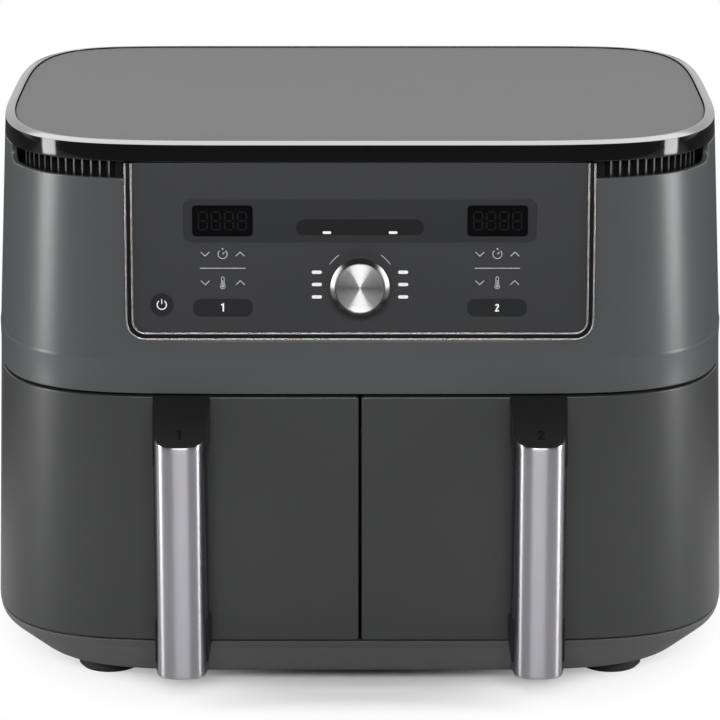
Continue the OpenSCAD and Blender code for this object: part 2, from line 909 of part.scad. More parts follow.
module temperature_sensors() {
    color("#c7a24a") both_sides()
        translate([bay_mid + probe_x, shroud_mid_y + probe_y, 0]) {
            translate([0, 0, element_z]) cylinder(r = probe_r, h = shroud_z1 + probe_tail - element_z);
            translate([0, 0, shroud_z1]) cylinder(r = probe_flange_r, h = probe_flange_t);
        }
}

fuse_x = 52;
fuse_y = -55;
fuse_r = 7.5;
fuse_h = 6;
fuse_tab = [28, 6, 1];

module thermal_fuses() {
    color("#d8d2c0") both_sides()
        translate([bay_mid + fuse_x, shroud_mid_y + fuse_y, shroud_z1]) {
            cylinder(r = fuse_r, h = fuse_h);
            translate([-fuse_tab[0] / 2, -fuse_tab[1] / 2, 0]) cube(fuse_tab);
        }
}

// Switches behind the frame, each with a pin that the drawer front pushes in
switch_half = 10;
switch_d = 8;
switch_h = 9;
switch_lift = 0.5;
switch_z = bay_z1 + switch_lift + switch_h / 2;
switch_pin_r = 1.2;
switch_pin_out = 1.5;

module drawer_switches() {
    color("#1b1b1d") both_sides() {
        block(
            [bay_mid - switch_half, bay_y0, bay_z1 + switch_lift],
            [bay_mid + switch_half, bay_y0 + switch_d, bay_z1 + switch_lift + switch_h]
        );
        rod_y(bay_mid, switch_z, switch_pin_r, -wrap_y - switch_pin_out, bay_y0 + 1);
    }
}

// ---------------------------------------------------------------- fans and motors

impeller_z1 = shroud_z1 - sheet - 4;
impeller_h = 15;
bearing_r = 8;
bearing_h = 6;
motor_z0 = deck_z + deck_t;
cooler_gap = 5;
cooler_h = 12;
shaft_z0 = impeller_z1 - impeller_h - 3;
shaft_z1 = motor_z0 + motor_h + cooler_gap + cooler_h + 2;

module on_fan_axis(side) {
    at_plan() translate([side * bay_mid, shroud_mid_y, 0]) children();
}

module motor_deck() {
    leg_r = 4;
    leg_x = 66;
    leg_y = 70;
    deck_half = bay_mid + shroud_half;
    color("#9fa1a3") at_plan() {
        difference() {
            block([-deck_half, shroud_y0, deck_z], [deck_half, shroud_y1, deck_z + deck_t]);
            for (side = [-1, 1])
                translate([side * bay_mid, shroud_mid_y, deck_z - 1]) cylinder(r = shaft_r + 4, h = 4);
        }
        for (side = [-1, 1])
            for (x = [-leg_x, leg_x])
                for (y = [-leg_y, leg_y])
                    translate([side * bay_mid + x, shroud_mid_y + y, shroud_z1])
                        cylinder(r = leg_r, h = deck_gap + deck_t / 2);
    }
}

module fan_motor() {
    flange_r = 34;
    flange_h = 3;
    stack_w = 58;
    stack_z0 = 9;
    stack_h = 16;
    coil_r = 25;
    difference() {
        union() {
            cylinder(r = flange_r, h = flange_h);
            cylinder(r = coil_r, h = motor_h);
            translate([0, 0, stack_z0]) linear_extrude(stack_h) round_rect(stack_w, stack_w, 8);
        }
        translate([0, 0, -1]) cylinder(r = shaft_r + 2, h = far);
        translate([0, 0, -1]) cylinder(r = bearing_r + fix_gap, h = bearing_h + 1);
        translate([0, 0, motor_h - bearing_h]) cylinder(r = bearing_r + fix_gap, h = far);
    }
}

module fan_motors() {
    color("#77706a") both_sides() translate([bay_mid, shroud_mid_y, motor_z0]) fan_motor();
}

module motor_bearings() {
    color("#b08d4c") both_sides()
        for (z = [motor_z0, motor_z0 + motor_h - bearing_h])
            translate([bay_mid, shroud_mid_y, z])
                difference() {
                    cylinder(r = bearing_r, h = bearing_h);
                    translate([0, 0, -1]) cylinder(r = shaft_r + run_gap, h = bearing_h + 2);
                }
}

module motor_shaft() {
    translate([0, 0, shaft_z0]) cylinder(r = shaft_r, h = shaft_z1 - shaft_z0);
}

module motor_shaft_left() {
    color("#c2c4c6") on_fan_axis(-1) motor_shaft();
}

module motor_shaft_right() {
    color("#c2c4c6") on_fan_axis(1) motor_shaft();
}

module impeller() {
    blades = 24;
    disc_t = 1.5;
    blade_l = 20;
    blade_t = 1;
    blade_turn = 35;
    hub_r = 9;
    translate([0, 0, impeller_z1 - impeller_h])
        difference() {
            union() {
                translate([0, 0, impeller_h - disc_t]) cylinder(r = impeller_r, h = disc_t);
                cylinder(r = hub_r, h = impeller_h);
                for (i = [0 : blades - 1])
                    rotate(360 * i / blades)
                        translate([impeller_r - blade_l, 0, 0])
                            rotate(blade_turn)
                                translate([0, -blade_t / 2, 1])
                                    cube([blade_l, blade_t, impeller_h - 1 - disc_t / 2]);
            }
            translate([0, 0, -1]) cylinder(r = shaft_r + fix_gap, h = far);
        }
}

module impeller_left() {
    color("#b9bbbd") on_fan_axis(-1) impeller();
}

module impeller_right() {
    color("#b9bbbd") on_fan_axis(1) impeller();
}

module cooling_fan() {
    blades = 9;
    fan_r = 42;
    hub_r = 13;
    blade_t = 1.5;
    pitch_angle = 38;
    translate([0, 0, motor_z0 + motor_h + cooler_gap])
        difference() {
            union() {
                cylinder(r = hub_r, h = cooler_h);
                for (i = [0 : blades - 1])
                    rotate(360 * i / blades)
                        translate([hub_r - 2, 0, cooler_h / 2])
                            rotate([pitch_angle, 0, 0])
                                translate([0, -cooler_h / 2 - 1, -blade_t / 2])
                                    cube([fan_r - hub_r + 2, cooler_h + 2, blade_t]);
            }
            translate([0, 0, -1]) cylinder(r = shaft_r + fix_gap, h = far);
        }
}

module cooling_fan_left() {
    color("#2d2f31") on_fan_axis(-1) cooling_fan();
}

module cooling_fan_right() {
    color("#2d2f31") on_fan_axis(1) cooling_fan();
}

// ---------------------------------------------------------------- electronics and mains

power_inset = 24;
board_rise = 15;
board_h = 100;
board_half = 70;
board_edge = 8;
power_y = lid_y - power_inset;
board_z0 = base_top + board_rise;
board_z1 = board_z0 + board_h;
board_hole_x = board_half - board_edge;

module power_board() {
    color("#27633b") at_plan()
        block([-board_half, power_y, board_z0], [board_half, power_y + board_t, board_z1]);
}

// Relays, transformer, terminal block, heat sink and capacitors on the power board
module power_components() {
    seat = power_y + board_t;
    mid = (board_z0 + board_z1) / 2;
    relay = [20, 15, 16];
    relay_xs = [-44, -18];
    transformer = [26, 17, 22];
    terminals = [34, 13, 12];
    heat_sink = [30, 14, 20];
    capacitor_r = 5;
    capacitor_h = 16;
    capacitor_xs = [-2, 10];
    color("#28282c") at_plan() {
        for (x = relay_xs)
            translate([x, seat, mid + board_edge]) cube(relay);
        translate([board_edge, seat, mid + board_edge]) cube(transformer);
        translate([relay_xs[0], seat, board_z0 + 2 * board_edge]) cube(terminals);
        translate([2.5 * board_edge, seat, board_z0 + 1.5 * board_edge]) cube(heat_sink);
        for (x = capacitor_xs)
            rod_y(x, mid - 2 * board_edge, capacitor_r, seat, seat + capacitor_h);
        rod_y(6 * board_edge, mid + 2 * board_edge, capacitor_r, seat, seat + capacitor_h / 2);
    }
}

inlet_inset = 40;
inlet_rise = 27;
inlet_x = inlet_inset - window_half;
inlet_z = base_top + inlet_rise;
gland_wall = 2.8;
gland_r = cord_r + gland_wall;

// Bush for the mains cord: flange outside, nut inside, a straight bore through
module cord_inlet() {
    flange_r = gland_r + 2.5;
    nut_h = 4.8;
    nut_y1 = lid_y - wall - 5 * fit_gap;
    gland_y0 = nut_y1 - nut_h - 4.7;
    color("#1e1e1f") at_plan()
        difference() {
            union() {
                rod_y(inlet_x, inlet_z, gland_r, gland_y0, rear_y);
                rod_y(inlet_x, inlet_z, flange_r, lid_y, rear_y);
                rod_y(inlet_x, inlet_z, flange_r, nut_y1 - nut_h, nut_y1);
            }
            rod_y(inlet_x, inlet_z, cord_r, gland_y0 - 1, rear_y + 1);
        }
}

// ---------------------------------------------------------------- drawers

backing_t = 2.5;
backing_sink = 1;
backing_y1 = -wrap_y - seam - backing_sink;
boss_r = 6;
boss_y = 2 - lid_y;
handle_screw_r = 2;
handle_screw_head_h = 2.5;
lower_screw_rise = 7.5;
upper_screw_drop = 9;
screw_reach = 22;
handle_screw_zs = [front_z0 + lower_screw_rise, front_z1 - upper_screw_drop];
handle_screw_tip = -(lid_y + screw_reach);

module front_skin(inset) {
    loft([[front_z0 - 2, inset], [upper_z0, inset]]);
}

module drawer_front() {
    difference() {
        union() {
            difference() {
                intersection() {
                    front_skin(0);
                    drawer_opening(-wrap_y - seam, front_z0, front_z1, front_r);
                    block([seam, -far, 0], [far, 0, far]);
                }
                intersection() {
                    front_skin(wall);
                    block([seam + wall, -far, front_z0 + wall], [far, 0, front_z1 - wall]);
                }
            }
            intersection() {
                for (z = handle_screw_zs)
                    rod_y(handle_x, z, boss_r, -far, boss_y);
                front_skin(wall - 1);
                block([0, -far, front_z0 + 1], [far, 0, front_z1 - 1]);
            }
        }
        for (z = handle_screw_zs)
            rod_y(handle_x, z, handle_screw_r + screw_gap, -far, boss_y + 1);
    }
}

module drawer_front_left() {
    color("#454647") on_side(-1) drawer_front();
}

module drawer_front_right() {
    color("#454647") on_side(1) drawer_front();
}

// Backing plate that closes the hollow front and carries the basket
module drawer_backing() {
    intersection() {
        front_skin(wall + fit_gap);
        block(
            [seam + wall + fit_gap, backing_y1 - backing_t, front_z0 + wall + fit_gap],
            [far, backing_y1, front_z1 - wall - fit_gap]
        );
    }
}

module drawer_backing_left() {
    color("#222222") on_side(-1) drawer_backing();
}

module drawer_backing_right() {
    color("#222222") on_side(1) drawer_backing();
}

// Ring of points round a rounded rectangle
RSEG = 12;
function round_ring(half, y0, y1, r, z) = [
    for (q = [0 : 3])
        for (i = [0 : RSEG])
            let (
                a = 90 * q + 90 * i / RSEG,
                cx = (q == 0 || q == 3) ? half - r : r - half,
                cy = q < 2 ? y1 - r : y0 + r
            ) [bay_mid + cx + r * cos(a), cy + r * sin(a), z]
];

// Solid through a stack of rounded rectangles, each [height, inset]
module pan_loft(half, y0, y1, r, sections) {
    skin([for (s = sections) round_ring(half - s[1], y0 + s[1], y1 - s[1], r - s[1], s[0])]);
}

basket_z0 = base_top + 2;
basket_y0 = backing_y1;
basket_y1 = bay_y1 - 4;
basket_draft = 4;
basket_floor_r = 7;

function pan_sections(grow, floor_z, top_z) = [
    [floor_z, basket_draft + basket_floor_r + grow],
    [floor_z + 0.3 * basket_floor_r, basket_draft + 0.3 * basket_floor_r + grow],
    [floor_z + basket_floor_r, basket_draft + grow],
    [top_z, grow]
];

module basket() {
    difference() {
        union() {
            pan_loft(rim_half, basket_y0, basket_y1, basket_r, pan_sections(0, basket_z0, basket_top));
            translate([bay_mid, (basket_y0 + basket_y1 + 2) / 2, basket_top - flange_t])
                linear_extrude(flange_t)
                    round_rect(2 * flange_half, basket_y1 + 2 - basket_y0, 6);
        }
        pan_loft(
            rim_half, basket_y0, basket_y1, basket_r,
            pan_sections(basket_t, basket_z0 + basket_t, basket_top + 1)
        );
    }
}

module basket_left() {
    color("#2e2f31") on_side(-1) basket();
}

module basket_right() {
    color("#2e2f31") on_side(1) basket();
}

// Perforated plate on silicone feet
plate_t = 2;
plate_gap = 3;
plate_z0 = basket_z0 + basket_t + crisper_rise;
plate_half = rim_half - basket_draft - basket_t - plate_gap;
plate_y0 = basket_y0 + basket_draft + basket_t + plate_gap;
plate_y1 = basket_y1 - basket_draft - basket_t - plate_gap;
plate_r = basket_r - basket_draft - basket_t - plate_gap;
clip_r = 5;
clip_in = 16;

module crisper_plate() {
    hole_r = 3.2;
    hole_step = 12.2;
    nx = 5;
    ny = 6;
    mid_y = (plate_y0 + plate_y1) / 2;
    difference() {
        translate([bay_mid, mid_y, plate_z0])
            linear_extrude(plate_t)
                difference() {
                    round_rect(2 * plate_half, plate_y1 - plate_y0, plate_r);
                    for (i = [-nx : nx])
                        for (j = [-ny : ny])
                            if ((i + j) % 2 == 0 && abs(i) + abs(j) < nx + ny - 1)
                                translate([i, j] * hole_step) circle(hole_r, $fn = 6);
                }
        crisper_clips() translate([0, 0, -tiny]) cylinder(r = clip_r / 2 + fit_gap, h = far);
    }
}

module crisper_clips() {
    for (x = [bay_mid - plate_half + clip_in, bay_mid + plate_half - clip_in])
        for (y = [plate_y0 + clip_in, plate_y1 - clip_in])
            translate([x, y, basket_z0 + basket_t]) children();
}

module crisper_plate_left() {
    color("#36373a") on_side(-1) crisper_plate();
}

module crisper_plate_right() {
    color("#36373a") on_side(1) crisper_plate();
}

module crisper_foot() {
    cap_h = 2;
    cylinder(r = clip_r, h = crisper_rise);
    cylinder(r = clip_r / 2, h = crisper_rise + plate_t + 1);
    translate([0, 0, crisper_rise + plate_t]) cylinder(r = clip_r, h = cap_h);
}

module crisper_feet_left() {
    color("#4a4a4c") on_side(-1) crisper_clips() crisper_foot();
}

module crisper_feet_right() {
    color("#4a4a4c") on_side(1) crisper_clips() crisper_foot();
}

// ---------------------------------------------------------------- handles

grip_depth = 12;
grip_side = 6;
grip_tail = 4;
grip_flare = 1.1;
root_flare = 2.4;
grip_full_y = grip_y - grip_depth;
grip_back_y = grip_full_y - grip_side;
grip_back_half = grip_half + grip_flare;
root_half = grip_half + root_flare;
grip_n = 2.5;
grip_steps = 24;
core_sink = 0.6;
tongue_drop = 17.4;
tongue_root_drop = 0.2;
tongue_lift = 0.3;
tongue_z = front_z1 - tongue_drop;
tongue_slope = atan((tongue_drop - tongue_root_drop) / (grip_y - lid_y - lean_mid));
cover_slope = 12.6;
seam_slope = 4;
seam_step = 2.5;
upper_root_h = 20.4;
upper_grip_h = 30.4;
lower_root_h = 14;
lower_arm_lift = 6;
lower_arm_rise = 6;
upper_root_z = front_z1 - upper_root_h;
upper_grip_z = front_z1 - upper_grip_h;
lower_root_z = front_z0 + lower_root_h;

// Section of the grip: an arched front and a back that widens a little
function grip_front(inset) = [
    for (i = [0 : grip_steps])
        let (a = 180 * i / grip_steps, x = (grip_half - inset) * power(cos(a), grip_n))
            [x, -grip_full_y - (grip_depth - inset) * pow(sin(a), 2 / grip_n)]
];

module grip_section(inset, back_y) {
    back = grip_back_half - inset;
    tail = [[-back, -grip_back_y], [-back, -back_y], [back, -back_y], [back, -grip_back_y]];
    translate([handle_x, 0]) polygon(concat(grip_front(inset), tail));
}

// Everything below a plane that falls towards the front at an angle, through the point y, z
module below_plane(y, z, angle) {
    translate([-far / 2, y, z]) rotate([angle, 0, 0]) translate([0, -far / 2, -far]) cube(far);
}

module grip_cover() {
    intersection() {
        translate([0, 0, grip_z0])
            linear_extrude(front_z1 - grip_z0)
                difference() {
                    grip_section(0, grip_back_y - grip_tail);
                    grip_section(cover_t, 0);
                }
        below_plane(-grip_y, tongue_z, cover_slope);
        translate([0, -grip_full_y - seam_step, tongue_z]) rotate([seam_slope, 0, 0])
            translate([-far / 2, -far, -far]) cube([far, far, 2 * far]);
    }
}

module handle_cover_left() {
    color("#b5b3b6") on_side(-1) grip_cover();
}

module handle_cover_right() {
    color("#b5b3b6") on_side(1) grip_cover();
}

// Arm between two upright rectangles, one at the drawer and one in the grip
module arm(root_low, root_high, grip_low, grip_high) {
    hull() {
        block([handle_x - root_half, -lid_y - 1, root_low], [handle_x + root_half, -lid_y, root_high]);
        block(
            [handle_x - grip_back_half, -grip_full_y, grip_low],
            [handle_x + grip_back_half, -grip_full_y + 1, grip_high]
        );
    }
}

module handle_core() {
    difference() {
        intersection() {
            union() {
                translate([0, 0, grip_z0 + core_sink])
                    linear_extrude(front_z1 - grip_z0) grip_section(0, grip_back_y - grip_tail);
                arm(upper_root_z, front_z1, upper_grip_z, front_z1);
                arm(front_z0 + 2, lower_root_z, grip_z0 + lower_arm_lift, lower_root_z + lower_arm_rise);
            }
            below_plane(-grip_y, tongue_z + tongue_lift, tongue_slope);
        }
        grip_cover();
        front_skin(0);
        for (z = handle_screw_zs)
            rod_y(handle_x, z, handle_screw_r + screw_gap, handle_screw_tip, 0);
    }
}

module handle_core_left() {
    color("#232323") on_side(-1) handle_core();
}

module handle_core_right() {
    color("#232323") on_side(1) handle_core();
}

module handle_screws() {
    for (z = handle_screw_zs) {
        rod_y(handle_x, z, handle_screw_r, handle_screw_tip + 1, boss_y + 1);
        rod_y(handle_x, z, 2 * handle_screw_r, boss_y, boss_y + handle_screw_head_h);
    }
}

module handle_screws_left() {
    color("#9a9a9a") on_side(-1) handle_screws();
}

module handle_screws_right() {
    color("#9a9a9a") on_side(1) handle_screws();
}

// ---------------------------------------------------------------- nodes

base_tray();
rubber_feet();
outer_shell();
rear_cover();
case_screws();
trim_ring();
top_plate();
vent_louvres();
panel_bezel();
control_fascia();
display_lens();
display_modules();
control_board();
encoder_body();
encoder_plunger();
dial_shaft();
dial_knob();
bay_frame();
bay_divider();
cavity_left();
cavity_right();
bay_rails();
heater_shrouds();
exhaust_ducts();
heating_elements();
element_guards();
temperature_sensors();
thermal_fuses();
drawer_switches();
motor_deck();
fan_motors();
motor_bearings();
motor_shaft_left();
motor_shaft_right();
impeller_left();
impeller_right();
cooling_fan_left();
cooling_fan_right();
power_board();
power_components();
cord_inlet();
drawer_front_left();
drawer_front_right();
drawer_backing_left();
drawer_backing_right();
basket_left();
basket_right();
crisper_plate_left();
crisper_plate_right();
crisper_feet_left();
crisper_feet_right();
handle_core_left();
handle_core_right();
handle_cover_left();
handle_cover_right();
handle_screws_left();
handle_screws_right();
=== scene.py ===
"""Looks of a twin-drawer air fryer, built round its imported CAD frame.

Lengths are millimetres and angles degrees unless a name says otherwise. The casing is described
about its own plan centre, which lies PLAN_Y behind the frame's origin, and piece() turns every
mesh into the frame's metres.
"""
import math

import bpy
import bmesh
import numpy as np
from mathutils import Matrix, Vector
from mathutils.geometry import delaunay_2d_cdt


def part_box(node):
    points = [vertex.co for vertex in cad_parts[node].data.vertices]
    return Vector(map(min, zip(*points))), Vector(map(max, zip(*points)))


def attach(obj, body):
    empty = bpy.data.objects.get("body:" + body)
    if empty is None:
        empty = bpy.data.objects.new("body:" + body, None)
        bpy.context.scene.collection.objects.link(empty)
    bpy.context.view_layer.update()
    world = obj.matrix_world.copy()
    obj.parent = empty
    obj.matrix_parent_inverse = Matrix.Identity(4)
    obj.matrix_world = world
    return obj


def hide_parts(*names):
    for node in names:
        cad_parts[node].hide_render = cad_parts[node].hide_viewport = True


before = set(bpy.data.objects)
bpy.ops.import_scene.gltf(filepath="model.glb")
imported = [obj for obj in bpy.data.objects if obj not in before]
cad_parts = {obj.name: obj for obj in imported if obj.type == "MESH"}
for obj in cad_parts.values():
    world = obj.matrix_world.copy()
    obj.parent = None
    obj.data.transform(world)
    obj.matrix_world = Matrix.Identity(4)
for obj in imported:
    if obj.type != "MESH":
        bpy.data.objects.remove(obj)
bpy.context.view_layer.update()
scene = bpy.context.scene

MM = 0.001
SIDES = (("left", -1), ("right", 1))

# ---- the CAD part's sizes, read from its boxes or else the same as in its source


def span(name, axis):
    """Lowest and highest place of a CAD node along an axis, to a thousandth of a millimetre."""
    return [round(corner["XYZ".index(axis)] / MM, 3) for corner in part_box(name)]


PLAN_Y = 22.0
GROUND_GAP, BASE_TOP = span("base_tray", "Z")
FRONT_Z0, FRONT_Z1 = span("drawer_front_right", "Z")
TRIM_Z0, BODY_H = span("trim_ring", "Z")
LID_Z0, LID_TOP_Z = span("top_plate", "Z")
SEAM = span("drawer_front_right", "X")[0]
SKIRT_Z = BASE_TOP - 5.0
UPPER_Z0 = FRONT_Z1 + SEAM
CREASE_Z = UPPER_Z0 + 20.0
VENT_Z0 = TRIM_Z0 - 9.1
TRIM_EDGE_Z = BODY_H - 1.5
WALL = 3.0
BEVEL_W = 4.0
LAND_W = 1.2
LEDGE_W = 13.0
LID_GAP = 0.4
LID_CHAMFER = 0.6
WRAP_Y = 84.0
FRONT_R = 5.0
SEAM_R = 1.6
VENT_Y1 = -99.0
WINDOW_HALF = 150.0
WINDOW_Z0 = 38.0
WINDOW_Z1 = 271.0

# Heights at which the skirt's corner rolls over
SKIRT_ROWS = [SKIRT_Z + rise for rise in (-2, -1, 0, 1, 2)]

# Half width, front depth and rear depth of the casing's plan, each against height. Above the
# crease the casing leans straight in, and just below it the sides are slightly hollow.
LID_Y = 150.0
CREASE_Y = 155.4
SIDE_TABLE = [
    (GROUND_GAP, 185.7), *zip(SKIRT_ROWS, (204.23, 205.46, 206.36, 206.94, 207.2)),
    (BASE_TOP, 207.5), (UPPER_Z0, 203.75),
    (177.0, 203.55), (186.8, 203.8), (CREASE_Z, 203.5), (TRIM_EDGE_Z, 198.5),
]
FRONT_TABLE = [
    (GROUND_GAP, 150.3), (SKIRT_Z, 156.0), (BASE_TOP, 159.5), (UPPER_Z0, 155.9),
    (172.0, 155.68), (177.0, 155.5), (182.0, 155.41), (CREASE_Z, CREASE_Y), (TRIM_EDGE_Z, LID_Y),
]
REAR_TABLE = [
    (GROUND_GAP, 140.0), *zip(SKIRT_ROWS[1:4], (148.81, 149.24, 149.53)), (BASE_TOP, LID_Y),
]
FRONT_POWERS = (6.2, 3.4)
REAR_POWERS = (10.2, 3.7)

SLOT_Y = 124.0
SLOT_W = 4.0
SLOT_L = 20.0
SLOT_R = 1.5
SLOT_STEP = 10.0

PANEL_W = 2 * span("panel_bezel", "X")[1]
BEZEL_W = 4.0
BEZEL_R = 10.5
BEZEL_PROUD = 1.0
BEZEL_STAND = 0.3
BEZEL_Z0 = 197.6
DIAL_Z = 227.9
PANEL_GAP = 0.3
PANEL_TILT = math.atan((CREASE_Y - LID_Y) / (TRIM_EDGE_Z - CREASE_Z))
PANEL_LOW = (BEZEL_Z0 - DIAL_Z) / math.cos(PANEL_TILT)
PANEL_HIGH = (TRIM_Z0 - PANEL_GAP - DIAL_Z) / math.cos(PANEL_TILT)
BAND_W = 2 * span("display_lens", "X")[1]
BAND_H = 23.3
BAND_RISE = 34.7
BAND_R = 4.6
DIAL_R = span("dial_knob", "X")[1]
DIAL_H = 11.5

COVER_X0, COVER_X1 = span("handle_cover_right", "X")
HANDLE_X = (COVER_X0 + COVER_X1) / 2
GRIP_Y = PLAN_Y - span("handle_cover_right", "Y")[0]
GRIP_DEPTH = 12.0
GRIP_SIDE = 6.0
GRIP_TAIL = 4.0
GRIP_HALF = 13.3
GRIP_BACK_HALF = (COVER_X1 - COVER_X0) / 2
GRIP_POWER = 2.5
GRIP_Z0 = span("handle_cover_right", "Z")[0]
COVER_T = 1.2
TONGUE_Z = 149.0
COVER_SLOPE = 12.6
SEAM_STEP = 2.5
SEAM_SLOPE = 4.0
TONGUE_TOP = 149.3
TONGUE_SLOPE = 22.7
NUMERAL_Y = 9.8
NUMERAL_H = 7.6
NUMERAL_STROKE = 1.3

# ---- the casing as a surface


def table(z, rows):
    heights, values = zip(*rows)
    return np.interp(z, heights, values)


def half_w(z):
    return table(z, SIDE_TABLE)


def front_d(z):
    return table(z, FRONT_TABLE)


def rear_d(z):
    return table(z, REAR_TABLE)


def quarter(powers, steps=3000, turn=0.93):
    """Points of a unit superellipse from x = 0 round to y = 0, dense on both its flats."""
    px, py = powers
    x_flat = np.linspace(0, turn, steps)
    y_flat = (1 - x_flat ** px) ** (1 / py)
    y_side = np.linspace(y_flat[-1], 0, steps)[1:]
    x_side = (1 - y_side ** py) ** (1 / px)
    return np.concatenate([x_flat, x_side]), np.concatenate([y_flat, y_side])


# "run" is the way along the casing's plan from the middle of the front, positive to the right
RUN_Z = 200.0
front_x, front_y = quarter(FRONT_POWERS)
rear_x, rear_y = quarter(REAR_POWERS)
UNIT_X = np.concatenate([front_x, rear_x[::-1][1:]])
UNIT_Y = np.concatenate([-front_y, rear_y[::-1][1:]])
FRONT_COUNT = len(front_x)
reference = np.stack(
    [UNIT_X * half_w(RUN_Z), UNIT_Y * np.where(UNIT_Y < 0, front_d(RUN_Z), rear_d(RUN_Z))], 1
)
RUNS = np.concatenate([[0], np.cumsum(np.linalg.norm(np.diff(reference, axis=0), axis=1))])
HALF_RUN = RUNS[-1]


def on_casing(run, z, inset=0.0):
    """Points of the casing at a run and a height, in the frame, inset all round by a distance."""
    run, z = np.broadcast_arrays(np.asarray(run, float), np.asarray(z, float))
    side = np.where(run < 0, -1.0, 1.0)
    way = np.abs(run)
    side = np.where(way > HALF_RUN, -side, side)
    way = np.where(way > HALF_RUN, 2 * HALF_RUN - way, way)
    ux = np.interp(way, RUNS, UNIT_X)
    uy = np.interp(way, RUNS, UNIT_Y)
    x = side * (half_w(z) - inset) * ux
    y = (np.where(uy < 0, front_d(z), rear_d(z)) - inset) * uy
    return np.stack([x, y + PLAN_Y, z], -1)


def casing_normal(run, z, step=0.3):
    along = on_casing(run + step, z) - on_casing(run - step, z)
    up = on_casing(run, z + step) - on_casing(run, z - step)
    normal = np.cross(along, up)
    return normal / np.linalg.norm(normal, axis=-1, keepdims=True)


def run_at_x(x, z):
    return np.interp(x / half_w(z), UNIT_X[:FRONT_COUNT], RUNS[:FRONT_COUNT])


def run_at_rear_x(x, z):
    return np.interp(x / half_w(z), UNIT_X[FRONT_COUNT:][::-1], RUNS[FRONT_COUNT:][::-1])


def run_at_y(y, z):
    return np.interp(y / front_d(z), UNIT_Y[:FRONT_COUNT], RUNS[:FRONT_COUNT])


# ---- mesh tools


def piece(name, points, faces, material, body, replaces=(), sharp=35.0, place=Matrix()):
    """A finished piece that rides on a body: points in millimetres, about a place in the frame."""
    mesh = bpy.data.meshes.new(name)
    mesh.from_pydata((np.asarray(points) * MM).tolist(), [], [list(f) for f in faces])
    bm = bmesh.new()
    bm.from_mesh(mesh)
    bmesh.ops.remove_doubles(bm, verts=bm.verts, dist=1e-7)
    bmesh.ops.recalc_face_normals(bm, faces=bm.faces)
    bm.to_mesh(mesh)
    bm.free()
    obj = bpy.data.objects.new(name, mesh)
    at = place.copy()
    at.translation = place.translation * MM
    obj.matrix_world = at
    scene.collection.objects.link(obj)
    mesh.materials.append(material)
    mesh.shade_smooth()
    mesh.set_sharp_from_angle(angle=math.radians(sharp))
    bpy.context.view_layer.update()
    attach(obj, body)
    if replaces:
        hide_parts(*replaces)
    return obj


def mirrored(points, side):
    return np.asarray(points) * (side, 1, 1)


def line(start, end, step=3.0):
    """Points from start towards end, without the end."""
    count = max(1, math.ceil(math.dist(start, end) / step))
    share = np.arange(count)[:, None] / count
    return np.asarray(start) + share * (np.asarray(end, float) - np.asarray(start))


def arc(centre, radius, first, last, steps=8):
    """Points of an arc between two angles, without the last."""
    angles = np.radians(first + (last - first) * np.arange(steps) / steps)
    return np.asarray(centre) + radius * np.stack([np.cos(angles), np.sin(angles)], 1)


def round_rect(width, height, radius, centre=(0.0, 0.0), steps=8, step=20.0):
    """Closed outline of a rectangle with round corners, anticlockwise."""
    w, h = width / 2 - radius, height / 2 - radius
    corners = np.array([(w, -h), (w, h), (-w, h), (-w, -h)]) + centre
    parts = []
    for k, corner in enumerate(corners):
        out = radius * np.array([math.cos(math.radians(90 * k)), math.sin(math.radians(90 * k))])
        parts.append(arc(corner, radius, 90 * k - 90, 90 * k, steps))
        parts.append(line(corner + out, corners[(k + 1) % 4] + out, step))
    return np.concatenate(parts)


def inward(loop):
    """Mitre vectors into an anticlockwise loop, one at each point, for a unit offset."""
    along = np.roll(loop, -1, 0) - loop
    along /= np.linalg.norm(along, axis=1, keepdims=True)
    after = np.stack([-along[:, 1], along[:, 0]], 1)
    before = np.roll(after, 1, 0)
    return (before + after) / (1 + np.sum(before * after, 1, keepdims=True))


def inside(points, loop):
    """Which points lie inside a closed loop."""
    a, b = loop, np.roll(loop, -1, 0)
    result = np.zeros(len(points), bool)
    for start in range(0, len(points), 4000):
        p = points[start:start + 4000, None, :]
        crosses = (a[None, :, 1] > p[..., 1]) != (b[None, :, 1] > p[..., 1])
        rise = np.where(b[:, 1] == a[:, 1], 1.0, b[:, 1] - a[:, 1])
        at = a[None, :, 0] + (p[..., 1] - a[None, :, 1]) * ((b[:, 0] - a[:, 0]) / rise)[None]
        result[start:start + 4000] = (np.sum(crosses & (p[..., 0] < at), 1) % 2).astype(bool)
    return result


def nearest(points, loop):
    """Distance from each point to the nearest point of a loop."""
    result = np.empty(len(points))
    for start in range(0, len(points), 2000):
        gap = points[start:start + 2000, None, :] - loop[None]
        result[start:start + 2000] = np.sqrt((gap ** 2).sum(-1)).min(1)
    return result


FILLET_STEPS = 4
FLAT_START = 1.6
GRID_GAP = 1.4


